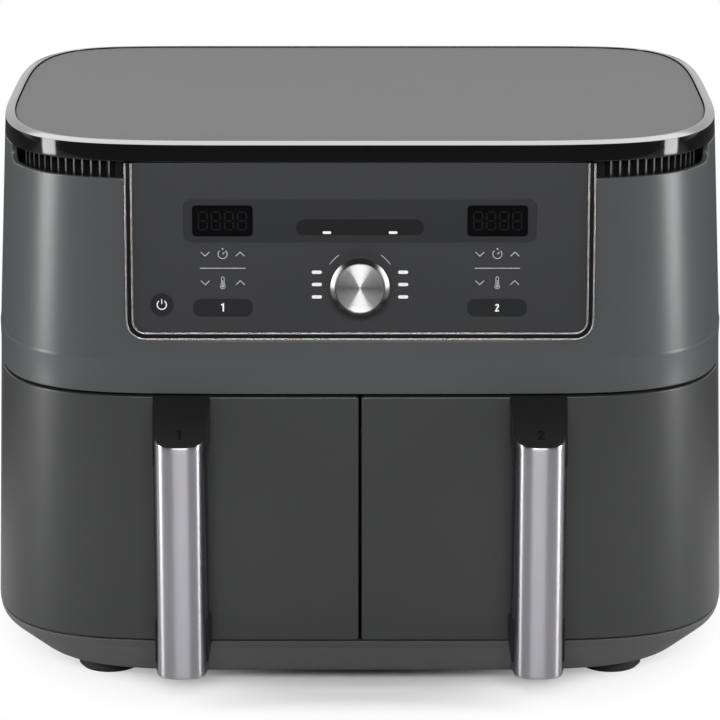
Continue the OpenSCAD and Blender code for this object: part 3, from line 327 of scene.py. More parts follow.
def patch(outline, holes=(), fillet=0.5, rows=None, columns=None):
    """Triangles over an outline with holes, with rings near its edges for a round edge.

    Returns the points, the depth of each below the face, the triangles, and the index lists of
    the edge loops. Rows and columns are the second and first coordinates of the inner points,
    which start at FLAT_START fillets and GRID_GAP from the edges.
    """
    loops = [outline] + [h[::-1] for h in holes]
    steps = [(0.0, 0.0)]
    if fillet:
        turn = np.radians(90 * np.arange(FILLET_STEPS + 1) / FILLET_STEPS)
        steps = [(fillet * (1 - math.cos(t)), fillet * (1 - math.sin(t))) for t in turn]
        steps.append((FLAT_START * fillet, 0.0))
    points, depths, edges, rims, count = [], [], [], [], 0
    for loop in loops:
        into = inward(loop)
        for k, (shift, depth) in enumerate(steps):
            points.append(loop + into * shift)
            depths.append(np.full(len(loop), depth))
            edges += [(count + i, count + (i + 1) % len(loop)) for i in range(len(loop))]
            if k == 0:
                rims.append(list(range(count, count + len(loop))))
            count += len(loop)
    if rows is not None:
        grid = np.stack(np.meshgrid(columns, rows), -1).reshape(-1, 2)
        keep = inside(grid, outline)
        for loop in loops:
            keep &= nearest(grid, loop) > FLAT_START * fillet + GRID_GAP
        for hole in holes:
            keep &= ~inside(grid, hole)
        points.append(grid[keep])
        depths.append(np.zeros(keep.sum()))
    points = np.concatenate(points)
    depths = np.concatenate(depths)
    found = delaunay_2d_cdt([Vector(p) for p in points], edges, [], 0, 1e-6)
    kept = np.array([tuple(v) for v in found[0]])
    source = np.array([
        ids[0] if ids else int(np.hypot(*(points - v).T).argmin()) for v, ids in zip(kept, found[3])
    ])
    triangles = np.array([f for f in found[2] if len(f) == 3])
    centres = kept[triangles].mean(1)
    good = inside(centres, outline)
    for hole in holes:
        good &= ~inside(centres, hole)
    place = np.empty(len(points), int)
    place[source] = np.arange(len(source))
    rims = [[int(place[i]) for i in rim] for rim in rims]
    return kept, depths[source], triangles[good], rims


def slab(front, back, triangles, rims):
    """Closed solid between two copies of a patch."""
    n = len(front)
    faces = [tuple(t) for t in triangles] + [(t[2] + n, t[1] + n, t[0] + n) for t in triangles]
    for rim in rims:
        faces += [(a, a + n, b + n, b) for a, b in zip(rim, rim[1:] + rim[:1])]
    return np.concatenate([front, back]), faces


def joined(parts):
    """One mesh from several pairs of points and faces."""
    points, faces, count = [], [], 0
    for some, their_faces in parts:
        points.append(some)
        faces += [tuple(i + count for i in face) for face in their_faces]
        count += len(some)
    return np.concatenate(points), faces


def at_height(flat, z):
    """Flat points with a height, or a height for each."""
    return np.column_stack([flat, np.broadcast_to(z, len(flat))])


def ring_faces(count, rings, closed=False):
    """Quads between rings of the same number of points."""
    faces = []
    for r in range(rings if closed else rings - 1):
        for i in range(count):
            j, s = (i + 1) % count, (r + 1) % rings
            faces.append((r * count + i, r * count + j, s * count + j, s * count + i))
    return faces


def end_caps(count, rings):
    """Strips that close both ends of a folded section, whose halves run side by side."""
    faces = []
    for base, order in ((0, -1), ((rings - 1) * count, 1)):
        for i in range(base, base + count // 2 - 1):
            across = 2 * base + count - 1 - i
            faces.append((i, i + 1, across - 1, across)[::order])
    return faces


AROUND = 480


def swept(profile, closed=True):
    """Band round the whole casing from a profile of (height, inset)."""
    runs = np.linspace(-HALF_RUN, HALF_RUN, AROUND, endpoint=False)
    points = np.concatenate([on_casing(runs, z, inset) for z, inset in profile])
    return points, ring_faces(AROUND, len(profile), closed)


def lathe(profile, count=128):
    """Shape turned about Z from a profile of (radius, height)."""
    angles = 2 * np.pi * np.arange(count) / count
    points, rings = [], []
    for radius, height in profile:
        if radius == 0:
            rings.append([len(points)] * count)
            points.append((0.0, 0.0, height))
        else:
            rings.append(list(range(len(points), len(points) + count)))
            points += [(radius * math.cos(a), radius * math.sin(a), height) for a in angles]
    faces = []
    for low, high in zip(rings, rings[1:]):
        for i in range(count):
            j = (i + 1) % count
            corners = (low[i], low[j], high[j], high[i])
            faces.append(tuple(dict.fromkeys(corners)))
    return np.array(points), faces


def bend(corner, before, after, radius, steps=4):
    """Points of a round corner of a profile, between the directions to two neighbours."""
    corner, before, after = (np.asarray(p, float) for p in (corner, before, after))
    u = (before - corner) / np.linalg.norm(before - corner)
    v = (after - corner) / np.linalg.norm(after - corner)
    half = math.acos(max(-1.0, min(1.0, float(u @ v)))) / 2
    reach = radius / math.tan(half)
    centre = corner + (u + v) / np.linalg.norm(u + v) * radius / math.sin(half)
    first, last = corner + u * reach - centre, corner + v * reach - centre
    result = []
    for k in range(steps + 1):
        mixed = first * (steps - k) + last * k
        result.append(tuple(centre + mixed / np.linalg.norm(mixed) * radius))
    return result


def rounded(corners, radii, closed=True):
    """Profile with each corner rounded by its radius; 0 leaves it sharp."""
    result = []
    count = len(corners)
    for i, (corner, radius) in enumerate(zip(corners, radii)):
        if radius == 0 or (not closed and i in (0, count - 1)):
            result.append(tuple(corner))
        else:
            result += bend(corner, corners[i - 1], corners[(i + 1) % count], radius)
    return result


# ---- materials


def node(tree, kind, **values):
    """New shader node, with some of its inputs set."""
    made = tree.nodes.new("ShaderNode" + kind)
    for name, value in values.items():
        made.inputs[name].default_value = value
    return made


def surface(name, color, roughness, metallic=0.0, specular=0.5, grain=0.0, grain_size=0.5,
            tint=0.04, anisotropic=0.0):
    """Plastic, paint or metal with a fine grain and a faint unevenness of colour.

    grain is the height of the grain and grain_size its width, in millimetres. An anisotropic
    metal is brushed round its own Z axis.
    """
    material = bpy.data.materials.new(name)
    material.use_nodes = True
    tree = material.node_tree
    link = tree.links.new
    shader = tree.nodes["Principled BSDF"]
    shader.inputs["Roughness"].default_value = roughness
    shader.inputs["Metallic"].default_value = metallic
    shader.inputs["Specular IOR Level"].default_value = specular
    shader.inputs["Anisotropic"].default_value = anisotropic
    if anisotropic:
        around = node(tree, "Tangent")
        around.direction_type = "RADIAL"
        around.axis = "Z"
        link(around.outputs["Tangent"], shader.inputs["Tangent"])
        shader.inputs["Anisotropic Rotation"].default_value = 0.25
    place = node(tree, "TexCoord")
    if tint:
        clouds = node(tree, "TexNoise", Scale=60.0, Detail=3.0)
        link(place.outputs["Object"], clouds.inputs["Vector"])
        mix = node(tree, "Mix")
        mix.data_type = "RGBA"
        mix.inputs[6].default_value = [c * (1 - tint) for c in color] + [1]
        mix.inputs[7].default_value = [c * (1 + tint) for c in color] + [1]
        link(clouds.outputs["Fac"], mix.inputs["Factor"])
        link(mix.outputs[2], shader.inputs["Base Color"])
    else:
        shader.inputs["Base Color"].default_value = [*color, 1]
    if grain:
        fine = node(tree, "TexNoise", Scale=1 / (grain_size * MM), Detail=2.0)
        bump = node(tree, "Bump", Strength=1.0, Distance=grain * MM)
        link(place.outputs["Object"], fine.inputs["Vector"])
        link(fine.outputs["Fac"], bump.inputs["Height"])
        link(bump.outputs["Normal"], shader.inputs["Normal"])
    return material


casing_grey = surface("casing_grey", (0.055, 0.057, 0.059), 0.32, grain=0.006)
# Painted shade: the drawer fronts are the casing's plastic, given a darker grey for the dimmer light on
# them.
drawer_grey = surface("drawer_grey", (0.029, 0.0298, 0.03), 0.34, grain=0.006)
base_grey = surface("base_grey", (0.085, 0.085, 0.085), 0.4, grain=0.006)
lid_grey = surface("lid_grey", (0.084, 0.084, 0.084), 0.6, grain=0.01, grain_size=0.8)
trim_black = surface("trim_black", (0.004, 0.004, 0.004), 0.09, tint=0.0)
bevel_chrome = surface("bevel_chrome", (0.29, 0.28, 0.29), 0.16, metallic=1.0, tint=0.0)
vent_black = surface("vent_black", (0.009, 0.009, 0.009), 0.34, specular=0.35)
gloss_black = surface("gloss_black", (0.005, 0.005, 0.005), 0.08, tint=0.0)
bezel_chrome = surface("bezel_chrome", (0.72, 0.7, 0.69), 0.25, metallic=1.0, tint=0.0)
fascia_grey = surface("fascia_grey", (0.0155, 0.0163, 0.0183), 0.42, grain=0.004, grain_size=0.4)
lens_dark = surface("lens_dark", (0.0095, 0.0102, 0.0122), 0.36)
groove_black = surface("groove_black", (0.003, 0.0025, 0.0025), 0.4, specular=0.2)
mark_grey = surface("mark_grey", (0.42, 0.43, 0.44), 0.5)
# Painted light: a plain white colour stands in for the glow of the lit lamps, numbers and power sign.
lit_lamp_white = surface("lit_lamp_white", (0.8, 0.8, 0.8), 0.5)
pill_dark = surface("pill_dark", (0.004, 0.004, 0.0045), 0.4, specular=0.25)
pad_dark = surface("pad_dark", (0.01, 0.0105, 0.0115), 0.4, specular=0.25)
display_black = surface("display_black", (0.0015, 0.0015, 0.002), 0.2, specular=0.2, tint=0.0)
digit_grey = surface("digit_grey", (0.004, 0.004, 0.0045), 0.3, specular=0.2)
handle_black = surface("handle_black", (0.008, 0.008, 0.008), 0.4, specular=0.2, grain=0.006)
handle_metal = surface("handle_metal", (0.45, 0.44, 0.465), 0.3, metallic=1.0, tint=0.02, anisotropic=0.9)
rear_black = surface("rear_black", (0.022, 0.022, 0.023), 0.5, grain=0.02)
rubber = surface("rubber_black", (0.014, 0.014, 0.014), 0.7, grain=0.02)
steel = surface("sheet_steel", (0.5, 0.5, 0.5), 0.3, metallic=1.0, grain=0.004, grain_size=2.0)
screw_steel = surface("screw_steel", (0.55, 0.55, 0.55), 0.3, metallic=1.0)
frame_black = surface("frame_black", (0.016, 0.016, 0.016), 0.45, grain=0.015)
basket_coat = surface("basket_coat", (0.02, 0.02, 0.021), 0.4, grain=0.015, grain_size=0.7)
silicone = surface("silicone", (0.05, 0.05, 0.05), 0.6)
board_green = surface("board_green", (0.01, 0.09, 0.035), 0.35)
component_dark = surface("component_dark", (0.02, 0.02, 0.022), 0.4)
element_dark = surface("element_dark", (0.12, 0.11, 0.1), 0.45, metallic=1.0)
brass = surface("probe_brass", (0.6, 0.42, 0.16), 0.3, metallic=1.0)
fuse_white = surface("fuse_white", (0.6, 0.57, 0.5), 0.4)
insulation = surface("insulation", (0.35, 0.3, 0.24), 0.8, grain=0.05, grain_size=1.5)
motor_dark = surface("motor_dark", (0.2, 0.19, 0.18), 0.4, metallic=1.0)
fan_plastic = surface("fan_plastic", (0.02, 0.02, 0.02), 0.4)
# Painted shade: the dial's side and bevel are the face's spun metal, given a much darker colour.
spun_metal_shaded = surface("spun_metal_shaded", (0.15, 0.143, 0.143), 0.26, metallic=1.0, tint=0.0)
spun_face = surface("spun_face", (0.74, 0.74, 0.75), 0.27, metallic=1.0, tint=0.0, anisotropic=0.95)

# ---- casing

EDGE_R = 0.6
GRID_STEP = 4.5
SPILL = 6.0
VENT_CORNER_R = 6.0
OPENING_R = FRONT_R + SEAM
CASING_EDGE_Z = UPPER_Z0 + 0.4
DRAWER_EDGE_Z = FRONT_Z1 - 0.5
PANEL_CUT = 0.1


def mapped(kind, points):
    """Turns (x or y, height) into (run, height) on the casing."""
    points = np.asarray(points)
    return np.stack([kind(points[:, 0], points[:, 1]), points[:, 1]], 1)


def casing_outline():
    """Right half of the casing, unrolled, running a little past its two middles."""
    rear_end = HALF_RUN + SPILL
    cut_x = PANEL_W / 2 + PANEL_CUT
    cut_z = BEZEL_Z0 - PANEL_CUT
    foot = (run_at_y(-WRAP_Y, BASE_TOP), BASE_TOP)
    window = [run_at_rear_x(WINDOW_HALF, z) for z in (WINDOW_Z0, WINDOW_Z1)]
    vent_end = run_at_y(VENT_Y1, TRIM_Z0)
    vent_low = (VENT_Y1 - VENT_CORNER_R, VENT_Z0 + VENT_CORNER_R)
    vent_front = run_at_y(vent_low[0], VENT_Z0)
    panel_side = run_at_x(cut_x, VENT_Z0)
    panel_low = run_at_x(cut_x - BEZEL_R, cut_z)
    opening = (-WRAP_Y - OPENING_R, CASING_EDGE_Z - OPENING_R)
    opening_run = run_at_y(opening[0], CASING_EDGE_Z)
    return np.concatenate([
        line(foot, (rear_end, BASE_TOP)),
        line((rear_end, BASE_TOP), (rear_end, WINDOW_Z0)),
        line((rear_end, WINDOW_Z0), (window[0], WINDOW_Z0)),
        mapped(run_at_rear_x, line((WINDOW_HALF, WINDOW_Z0), (WINDOW_HALF, WINDOW_Z1))),
        line((window[1], WINDOW_Z1), (rear_end, WINDOW_Z1)),
        line((rear_end, WINDOW_Z1), (rear_end, TRIM_Z0)),
        line((rear_end, TRIM_Z0), (vent_end, TRIM_Z0)),
        mapped(run_at_y, line((VENT_Y1, TRIM_Z0), (VENT_Y1, vent_low[1]), 2.0)),
        mapped(run_at_y, arc(vent_low, VENT_CORNER_R, 0, -90)),
        line((vent_front, VENT_Z0), (panel_side, VENT_Z0)),
        mapped(run_at_x, line((cut_x, VENT_Z0), (cut_x, cut_z + BEZEL_R))),
        mapped(run_at_x, arc((cut_x - BEZEL_R, cut_z + BEZEL_R), BEZEL_R, 0, -90)),
        line((panel_low, cut_z), (-SPILL, cut_z)),
        line((-SPILL, cut_z), (-SPILL, CASING_EDGE_Z)),
        line((-SPILL, CASING_EDGE_Z), (opening_run, CASING_EDGE_Z)),
        mapped(run_at_y, arc(opening, OPENING_R, 90, 0)),
        mapped(run_at_y, line((-WRAP_Y, opening[1]), (-WRAP_Y, BASE_TOP))),
    ])


def both_halves(points, faces):
    """Cuts a mesh at X = 0, keeps its right side and adds the mirror image."""
    bm = bmesh.new()
    verts = [bm.verts.new(p) for p in points]
    for face in faces:
        bm.faces.new([verts[i] for i in face])
    geometry = bm.verts[:] + bm.edges[:] + bm.faces[:]
    bmesh.ops.bisect_plane(
        bm, geom=geometry, plane_co=(0, 0, 0), plane_no=(1, 0, 0), clear_inner=True
    )
    bm.verts.index_update()
    half = np.array([tuple(v.co) for v in bm.verts])
    half_faces = [tuple(v.index for v in f.verts) for f in bm.faces]
    bm.free()
    half[np.abs(half[:, 0]) < 1e-4, 0] = 0.0
    return joined([(half, half_faces), (mirrored(half, -1), [f[::-1] for f in half_faces])])


def make_casing():
    """One shell round the front, sides and rear edge, with rows close together at the crease."""
    columns = np.arange(-SPILL, HALF_RUN + SPILL, GRID_STEP)
    rows = np.concatenate([
        np.arange(33.0, 163.0, 7.0),
        [170.5, 174.0, 178.0, 182.0, 185.5, CREASE_Z - 0.5, CREASE_Z, CREASE_Z + 0.5, 189.0],
        np.arange(193.0, 283.0, 6.0), [288.0, 291.0],
    ])
    uv, depth, triangles, rims = patch(casing_outline(), fillet=EDGE_R, rows=rows, columns=columns)
    base, out = on_casing(*uv.T), casing_normal(*uv.T)
    points, faces = slab(base - out * depth[:, None], base - out * WALL, triangles, rims)
    points, faces = both_halves(points, faces)
    piece("casing", points, faces, casing_grey, "housing", ["outer_shell"])


def make_base():
    """Base tray: a flat floor with slots, an undercut side and a rolled top edge."""
    foot, floor_r, lip_r = 4.0, 2.5, 0.4
    floor_top = GROUND_GAP + WALL
    belt = [(z, 0.0) for z in SKIRT_ROWS]
    sides = rounded(
        [(GROUND_GAP, foot), (GROUND_GAP, 0.0), *belt, (BASE_TOP, 0.0), (BASE_TOP, WALL)],
        [0, floor_r, *[0] * len(belt), lip_r, 0], closed=False,
    )
    sides += [(BASE_TOP, WALL), (SKIRT_Z, WALL), (floor_top, WALL)]
    points, faces = swept(sides, closed=False)
    slots = [
        round_rect(SLOT_W, SLOT_L, SLOT_R, (SLOT_STEP * i, SLOT_Y + PLAN_Y)) for i in range(-5, 6)
    ]
    parts = [(points, faces)]
    for z, ring, way in ((GROUND_GAP, points[:AROUND], -1), (floor_top, points[-AROUND:], 1)):
        uv, _, triangles, _ = patch(ring[:, :2], slots, fillet=0)
        parts.append((at_height(uv, z), triangles[:, ::way]))
    for slot in slots:
        wall = np.concatenate([at_height(slot, GROUND_GAP), at_height(slot, floor_top)])
        parts.append((wall, ring_faces(len(slot), 2)))
    points, faces = joined(parts)
    piece("base_shell", points, faces, base_grey, "housing", ["base_tray"])


def make_trim():
    """Gloss ring round the lid; its bevel has a finish of its own."""
    wall = BEVEL_W + LAND_W
    foot_r, edge_r, bevel_r, land_r = 0.5, 0.15, 0.4, 0.35
    corners = [
        (TRIM_Z0, 0.0), (TRIM_EDGE_Z, 0.0), (BODY_H, BEVEL_W), (BODY_H, wall),
        (LID_Z0, wall), (LID_Z0, LEDGE_W), (TRIM_Z0, LEDGE_W),
    ]
    points, faces = swept(rounded(corners, [foot_r, edge_r, bevel_r, land_r, 0, 0, 0]))
    obj = piece("lid_trim", points, faces, trim_black, "housing", ["trim_ring"])
    obj.data.materials.append(bevel_chrome)
    bevel_low, faces_up = (TRIM_EDGE_Z + 0.1) * MM, 0.5
    for polygon in obj.data.polygons:
        if polygon.center.z > bevel_low and polygon.normal.z > faces_up:
            polygon.material_index = 1


def make_lid():
    """Plate set into the trim, with a soft edge and flat faces."""
    inset, flat = BEVEL_W + LAND_W + LID_GAP, 30.0
    corners = [(LID_Z0, inset), (LID_TOP_Z, inset), (LID_TOP_Z, inset + flat)]
    points, faces = swept(rounded(corners, [0, LID_CHAMFER, 0], closed=False), closed=False)
    last = len(points) - AROUND
    faces.append(tuple(range(AROUND - 1, -1, -1)))
    faces.append(tuple(range(last, last + AROUND)))
    piece("lid_plate", points, faces, lid_grey, "housing", ["top_plate"])


# ---- drawers


def make_drawer_front(name, side):
    """Hollow front: a curved face with round edges and a rim that runs straight back."""
    edge_y = -WRAP_Y - SEAM
    inner_x, fold = SEAM, 4.0
    round_y = edge_y - FRONT_R
    low, high = FRONT_Z0 + FRONT_R, DRAWER_EDGE_Z - FRONT_R
    seam_x, seam_low, seam_high = inner_x + SEAM_R, FRONT_Z0 + SEAM_R, DRAWER_EDGE_Z - SEAM_R
    starts = [run_at_x(seam_x, z) for z in (FRONT_Z0, DRAWER_EDGE_Z)]
    ends = [run_at_y(round_y, z) for z in (FRONT_Z0, DRAWER_EDGE_Z)]
    outline = np.concatenate([
        line((starts[0], FRONT_Z0), (ends[0], FRONT_Z0)),
        mapped(run_at_y, arc((round_y, low), FRONT_R, -90, 0)),
        mapped(run_at_y, line((edge_y, low), (edge_y, high))),
        mapped(run_at_y, arc((round_y, high), FRONT_R, 0, 90)),
        line((ends[1], DRAWER_EDGE_Z), (starts[1], DRAWER_EDGE_Z)),
        mapped(run_at_x, arc((seam_x, seam_high), SEAM_R, 90, 180, 5)),
        mapped(run_at_x, line((inner_x, seam_high), (inner_x, seam_low))),
        mapped(run_at_x, arc((seam_x, seam_low), SEAM_R, 180, 270, 5)),
    ])
    margin, row_step = 4.0, 6.0
    columns = np.arange(3.0, HALF_RUN, GRID_STEP)
    rows = np.arange(FRONT_Z0 + margin, DRAWER_EDGE_Z - margin, row_step)
    uv, depth, triangles, rims = patch(outline, fillet=EDGE_R, rows=rows, columns=columns)
    face = on_casing(*uv.T) - casing_normal(*uv.T) * depth[:, None]
    edge = face[rims[0]]
    outer = edge.copy()
    outer[:, 1] = np.maximum(outer[:, 1], edge_y + PLAN_Y)
    inner = outer.copy()
    inner[:, [0, 2]] += inward(outer[:, [0, 2]]) * WALL
    rim = np.concatenate([edge, outer, inner, inner - (0.0, fold, 0.0)])
    points, faces = joined([(face, triangles), (rim, ring_faces(len(edge), 4))])
    piece(
        f"drawer_face_{name}", mirrored(points, side), faces, drawer_grey,
        f"drawer_{name}", [f"drawer_front_{name}"],
    )


# ---- handles


def grip_outline(inset, steps=60):
    """Plan outline of the grip's sides and front, from its right rear edge to its left one."""
    angles = np.radians(180 * np.arange(steps + 1) / steps)
    cos, sin = np.cos(angles), np.sin(angles)
    full_y = GRIP_Y - GRIP_DEPTH
    arch = np.stack([
        (GRIP_HALF - inset) * np.sign(cos) * np.abs(cos) ** (2 / GRIP_POWER),
        -full_y - (GRIP_DEPTH - inset) * np.abs(sin) ** (2 / GRIP_POWER),
    ], 1)
    side = GRIP_BACK_HALF - inset
    flank = [(side, GRIP_SIDE + GRIP_TAIL - full_y), (side, GRIP_SIDE - full_y)]
    return np.concatenate([flank, arch, np.flip(flank, 0) * (-1, 1)])


def cut_outline(outline, depth, count):
    """Evenly spaced points of the part of a grip outline that lies in front of a depth."""
    runs = np.concatenate([[0], np.cumsum(np.linalg.norm(np.diff(outline, axis=0), axis=1))])
    half = len(outline) // 2
    start = np.interp(depth, -outline[:half, 1], runs[:half])
    at = np.linspace(start, runs[-1] - start, count)
    return np.stack([np.interp(at, runs, outline[:, k]) for k in (0, 1)], 1)


def make_handle_cover(name, side):
    """Metal cover bent round the front of the grip; its rear edge runs back towards the foot."""
    fall = math.tan(math.radians(COVER_SLOPE))
    lean = math.tan(math.radians(SEAM_SLOPE))
    edge_r, count = 0.55, 120
    front_y = GRIP_Y - GRIP_DEPTH
    outer, inner = grip_outline(0.0), grip_outline(COVER_T)
    turns = np.radians([0, 30, 60, 90])
    soft = [(edge_r * (1 - math.sin(t)), edge_r * (1 - math.cos(t))) for t in turns]
    levels = [(0.0, rise, shift) for shift, rise in soft]
    levels += [(share, 0.0, 0.0) for share in np.linspace(0.02, 0.98, 25)]
    levels += [(1.0, -rise, shift) for shift, rise in soft[::-1]]
    rings = []
    for share, rise, shift in levels:
        z = GRIP_Z0 + share * (TONGUE_Z - GRIP_Z0)
        depth = front_y + SEAM_STEP - (TONGUE_Z - z) * lean
        front, back = cut_outline(outer, depth, count), cut_outline(inner, depth, count)
        loop = np.concatenate([back, front[::-1]])
        loop = (loop + inward(loop) * shift)[::-1]
        top = TONGUE_Z + (loop[:, 1] + GRIP_Y) * fall
        rings.append(at_height(loop, GRIP_Z0 + rise + share * (top - GRIP_Z0)))
    points = mirrored(np.concatenate(rings) + (0.0, front_y, 0.0), side)
    faces = ring_faces(2 * count, len(rings)) + end_caps(2 * count, len(rings))
    piece(
        f"handle_cover_{name}_metal", points, faces, handle_metal, f"drawer_{name}",
        [f"handle_cover_{name}"], place=Matrix.Translation((side * HANDLE_X, PLAN_Y - front_y, 0.0)),
    )


def make_numeral(name, side):
    """Raised number on the sloping top of a grip."""
    slope = math.radians(TONGUE_SLOPE)
    top_z = TONGUE_TOP + NUMERAL_Y * math.tan(slope)
    place = Matrix.Translation((side * HANDLE_X, NUMERAL_Y - GRIP_Y + PLAN_Y, top_z))
    digit = numeral("1" if side < 0 else "2", 0, 0, NUMERAL_H, NUMERAL_STROKE)
    points, faces = raised(digit, top=0.25, low=-0.2)
    piece(
        f"handle_number_{name}", points, faces, gloss_black, f"drawer_{name}",
        place=place @ Matrix.Rotation(slope, 4, "X"),
    )


# ---- control panel

PANEL_Y = PLAN_Y - front_d(DIAL_Z) - BEZEL_STAND + BEZEL_PROUD
PANEL_AT = Matrix.Translation((0, PANEL_Y, DIAL_Z)) @ Matrix.Rotation(math.pi / 2 - PANEL_TILT, 4, "X")


def on_panel(points):
    """Points of the panel's own frame (right, up along it, out of it) in the frame's millimetres."""
    turn = np.array(PANEL_AT)
    return np.asarray(points, float) @ turn[:3, :3].T + turn[:3, 3]


def panel_u(shrink, steps=12):
    """Outline of the panel from its top right down, round and up to its top left."""
    half = PANEL_W / 2 - shrink
    low = PANEL_LOW + shrink
    radius = BEZEL_R - shrink
    step = 8.0
    right = arc((half - radius, low + radius), radius, 0, -90, steps)
    left = arc((radius - half, low + radius), radius, -90, -180, steps)
    return np.concatenate([
        line((half, PANEL_HIGH), (half, low + radius), step), right,
        line((half - radius, low), (radius - half, low), step), left,
        line((-half, low + radius), (-half, PANEL_HIGH), step), [(-half, PANEL_HIGH)],
    ])


def make_bezel():
    """Two bright ridges with a dark groove between them, closed at each top end."""
    ridge, ridge_r, groove_depth, back = 0.8, 0.15, 1.2, -4.0
    top = BEZEL_PROUD
    groove_low = top - groove_depth
    profile = rounded(
        [
            (0.0, back), (0.0, top), (ridge, top), (ridge, groove_low),
            (BEZEL_W - ridge, groove_low), (BEZEL_W - ridge, top), (BEZEL_W, top), (BEZEL_W, back),
        ],
        [0, ridge_r, ridge_r, 0, 0, ridge_r, ridge_r, 0],
    )
    points = np.concatenate([at_height(panel_u(shrink), height) for shrink, height in profile])
    rings = len(profile)
    count = len(points) // rings
    ends = [tuple(range(0, rings * count, count)), tuple(range(count - 1, rings * count, count))[::-1]]
    sides = [face for face in ring_faces(count, rings, closed=True) if face[1] % count]
    obj = piece(
        "panel_bezel_lines", on_panel(points), sides + ends, bezel_chrome,
        "housing", ["panel_bezel"],
    )
    obj.data.materials.append(groove_black)
    out = PANEL_AT.to_3x3() @ Vector((0, 0, 1))
    groove_high = PANEL_AT.translation.dot(out) + top - 2 * ridge_r
    for polygon in obj.data.polygons:
        if polygon.center.dot(out) / MM < groove_high:
            polygon.material_index = 1


def flat_plate(name, outline, material, replaces, high, low, holes=(), fillet=0.12):
    """Plate on the panel between two heights, with round front edges."""
    uv, depth, triangles, rims = patch(outline, holes, fillet=fillet)
    points, faces = slab(at_height(uv, high - depth), at_height(uv, low), triangles, rims)
    piece(name, on_panel(points), faces, material, "housing", replaces)


def make_fascia():
    """Fascia plate with its openings, and the dark window that fills the upper one."""
    gap, bush_r, step = 0.1, 4.5, 15.0
    shrink = BEZEL_W + gap
    half, low, radius = PANEL_W / 2 - shrink, PANEL_LOW + shrink, BEZEL_R - shrink
    outline = np.concatenate([
        arc((radius - half, low + radius), radius, 180, 270),
        line((radius - half, low), (half - radius, low), step),
        arc((half - radius, low + radius), radius, 270, 360),
        line((half, low + radius), (half, PANEL_HIGH), step),
        line((half, PANEL_HIGH), (-half, PANEL_HIGH), step),
        line((-half, PANEL_HIGH), (-half, low + radius), step),
    ])
    opening = round_rect(BAND_W + 2 * gap, BAND_H + 2 * gap, BAND_R + gap, (0, BAND_RISE))
    bush = arc((0, 0), bush_r, 0, 360, 32)
    flat_plate(
        "panel_fascia", outline, fascia_grey, ["control_fascia"],
        high=0.0, low=-2.2, holes=[opening, bush],
    )
    lens = round_rect(BAND_W, BAND_H, BAND_R, (0, BAND_RISE))
    flat_plate(
        "panel_window", lens, lens_dark, ["display_lens"], high=-0.05, low=-1.4
    )


# ---- marks on the panel

# Width, height and rise above the dial's centre
ZONE_PAD = (32.5, 9.9, -12.7)
DISPLAY = (32.5, 16.9, 34.65)
PILL = (68.6, 8.7, 31.2)
# Width, height and corner radius, or a digit's stroke
LAMP = (5.4, 1.8, 0.85)
PILL_LAMP = (4.6, 1.4, 0.6)
DIGIT = (5.6, 10.6, 0.95)

MARK_TOP = 0.05
GLASS_TOP = 0.02
GLASS_R = 2.2
ZONE_X = 73.7
KEY_STEP = 9.4
UPPER_KEYS = 16.6
LOWER_KEYS = 1.0
DIVIDER = 8.9
DIVIDER_HALF = 12.2
LINE_W = 0.4
DIGIT_STEP = 7.0
LAMP_X = 23.2
LAMP_ROWS = (6.7, 0.0, -6.8)
PILL_LAMP_X = 17.75
PILL_LAMP_RISE = 28.3
DIAL_ARC_R = 19.6
DIAL_ARCS = {-1: (125, 146), 1: (34, 55)}
POWER = (-106.6, -11.1)
POWER_PAD_R = 6.4


def stroke(path, width):
    """Closed outline of a line of a width along an open path, with square ends."""
    path = np.asarray(path, float)
    along = np.diff(path, axis=0)
    along /= np.linalg.norm(along, axis=1, keepdims=True)
    side = np.stack([-along[:, 1], along[:, 0]], 1)
    before = np.concatenate([side[:1], side])
    after = np.concatenate([side, side[-1:]])
    mitre = (before + after) / (1 + np.sum(before * after, 1, keepdims=True))
    return np.concatenate([path - mitre * width / 2, (path + mitre * width / 2)[::-1]])


def bow(centre, radius, first, last, steps=24):
    """Points of an arc with both its ends."""
    angles = np.radians(np.linspace(first, last, steps + 1))
    return np.asarray(centre) + radius * np.stack([np.cos(angles), np.sin(angles)], 1)


def chevron(x, y, way):
    half, rise = 2.3, 1.1 * way
    return stroke([(x - half, y - rise), (x, y + rise), (x + half, y - rise)], 0.42)


def numeral(text, x, y, height, width):
    """Outlines of the digit 1 or 2, drawn as strokes about a middle point."""
    top, low = y + height / 2, y - height / 2
    if text == "1":
        stem = x + 0.04 * height
        return [stroke([(x - 0.22 * height, top - 0.16 * height), (stem, top - 0.02 * height),
                        (stem, low)], width)]
    bowl = 0.26 * height
    curve = bow((x, top - bowl), bowl - width / 2, 170, -38)
    foot = low + width / 2
    return [stroke([*curve, (x - bowl + 0.1 * height, foot), (x + bowl, foot)], width)]


def clock(x, y):
    """Stop watch: an open ring with a hand and a knob."""
    radius = 2.45
    ring = stroke(bow((x, y), radius, 130, 410, 36), LINE_W)
    hand = stroke([(x, y), (x + 1.1, y + 1.1)], 0.5)
    return [ring, hand, stroke([(x, y + radius), (x, y + 3.2)], 0.9)]


def thermometer(x, y):
    """Outline of a bulb and tube, with a filled ball and column."""
    bulb_y, bulb_r, tube_r, ball_r = y - 2.0, 1.25, 0.72, 0.62
    bulb = bow((x, bulb_y), bulb_r, 125, 415, 30)
    tube = bow((x, y + 2.5), tube_r, 0, 180, 10)
    shell = stroke(np.concatenate([bulb, tube, bulb[:1]]), 0.32)
    ball = bow((x, bulb_y), ball_r, 0, 348, 20)
    return [shell, ball, stroke([(x, bulb_y), (x, y + 1.2)], 0.45)]


def power_icon(x, y):
    """Open ring with a bar through its gap."""
    return [stroke(bow((x, y), 2.5, 125, 415, 36), 0.5), stroke([(x, y + 0.4), (x, y + 3.1)], 0.5)]


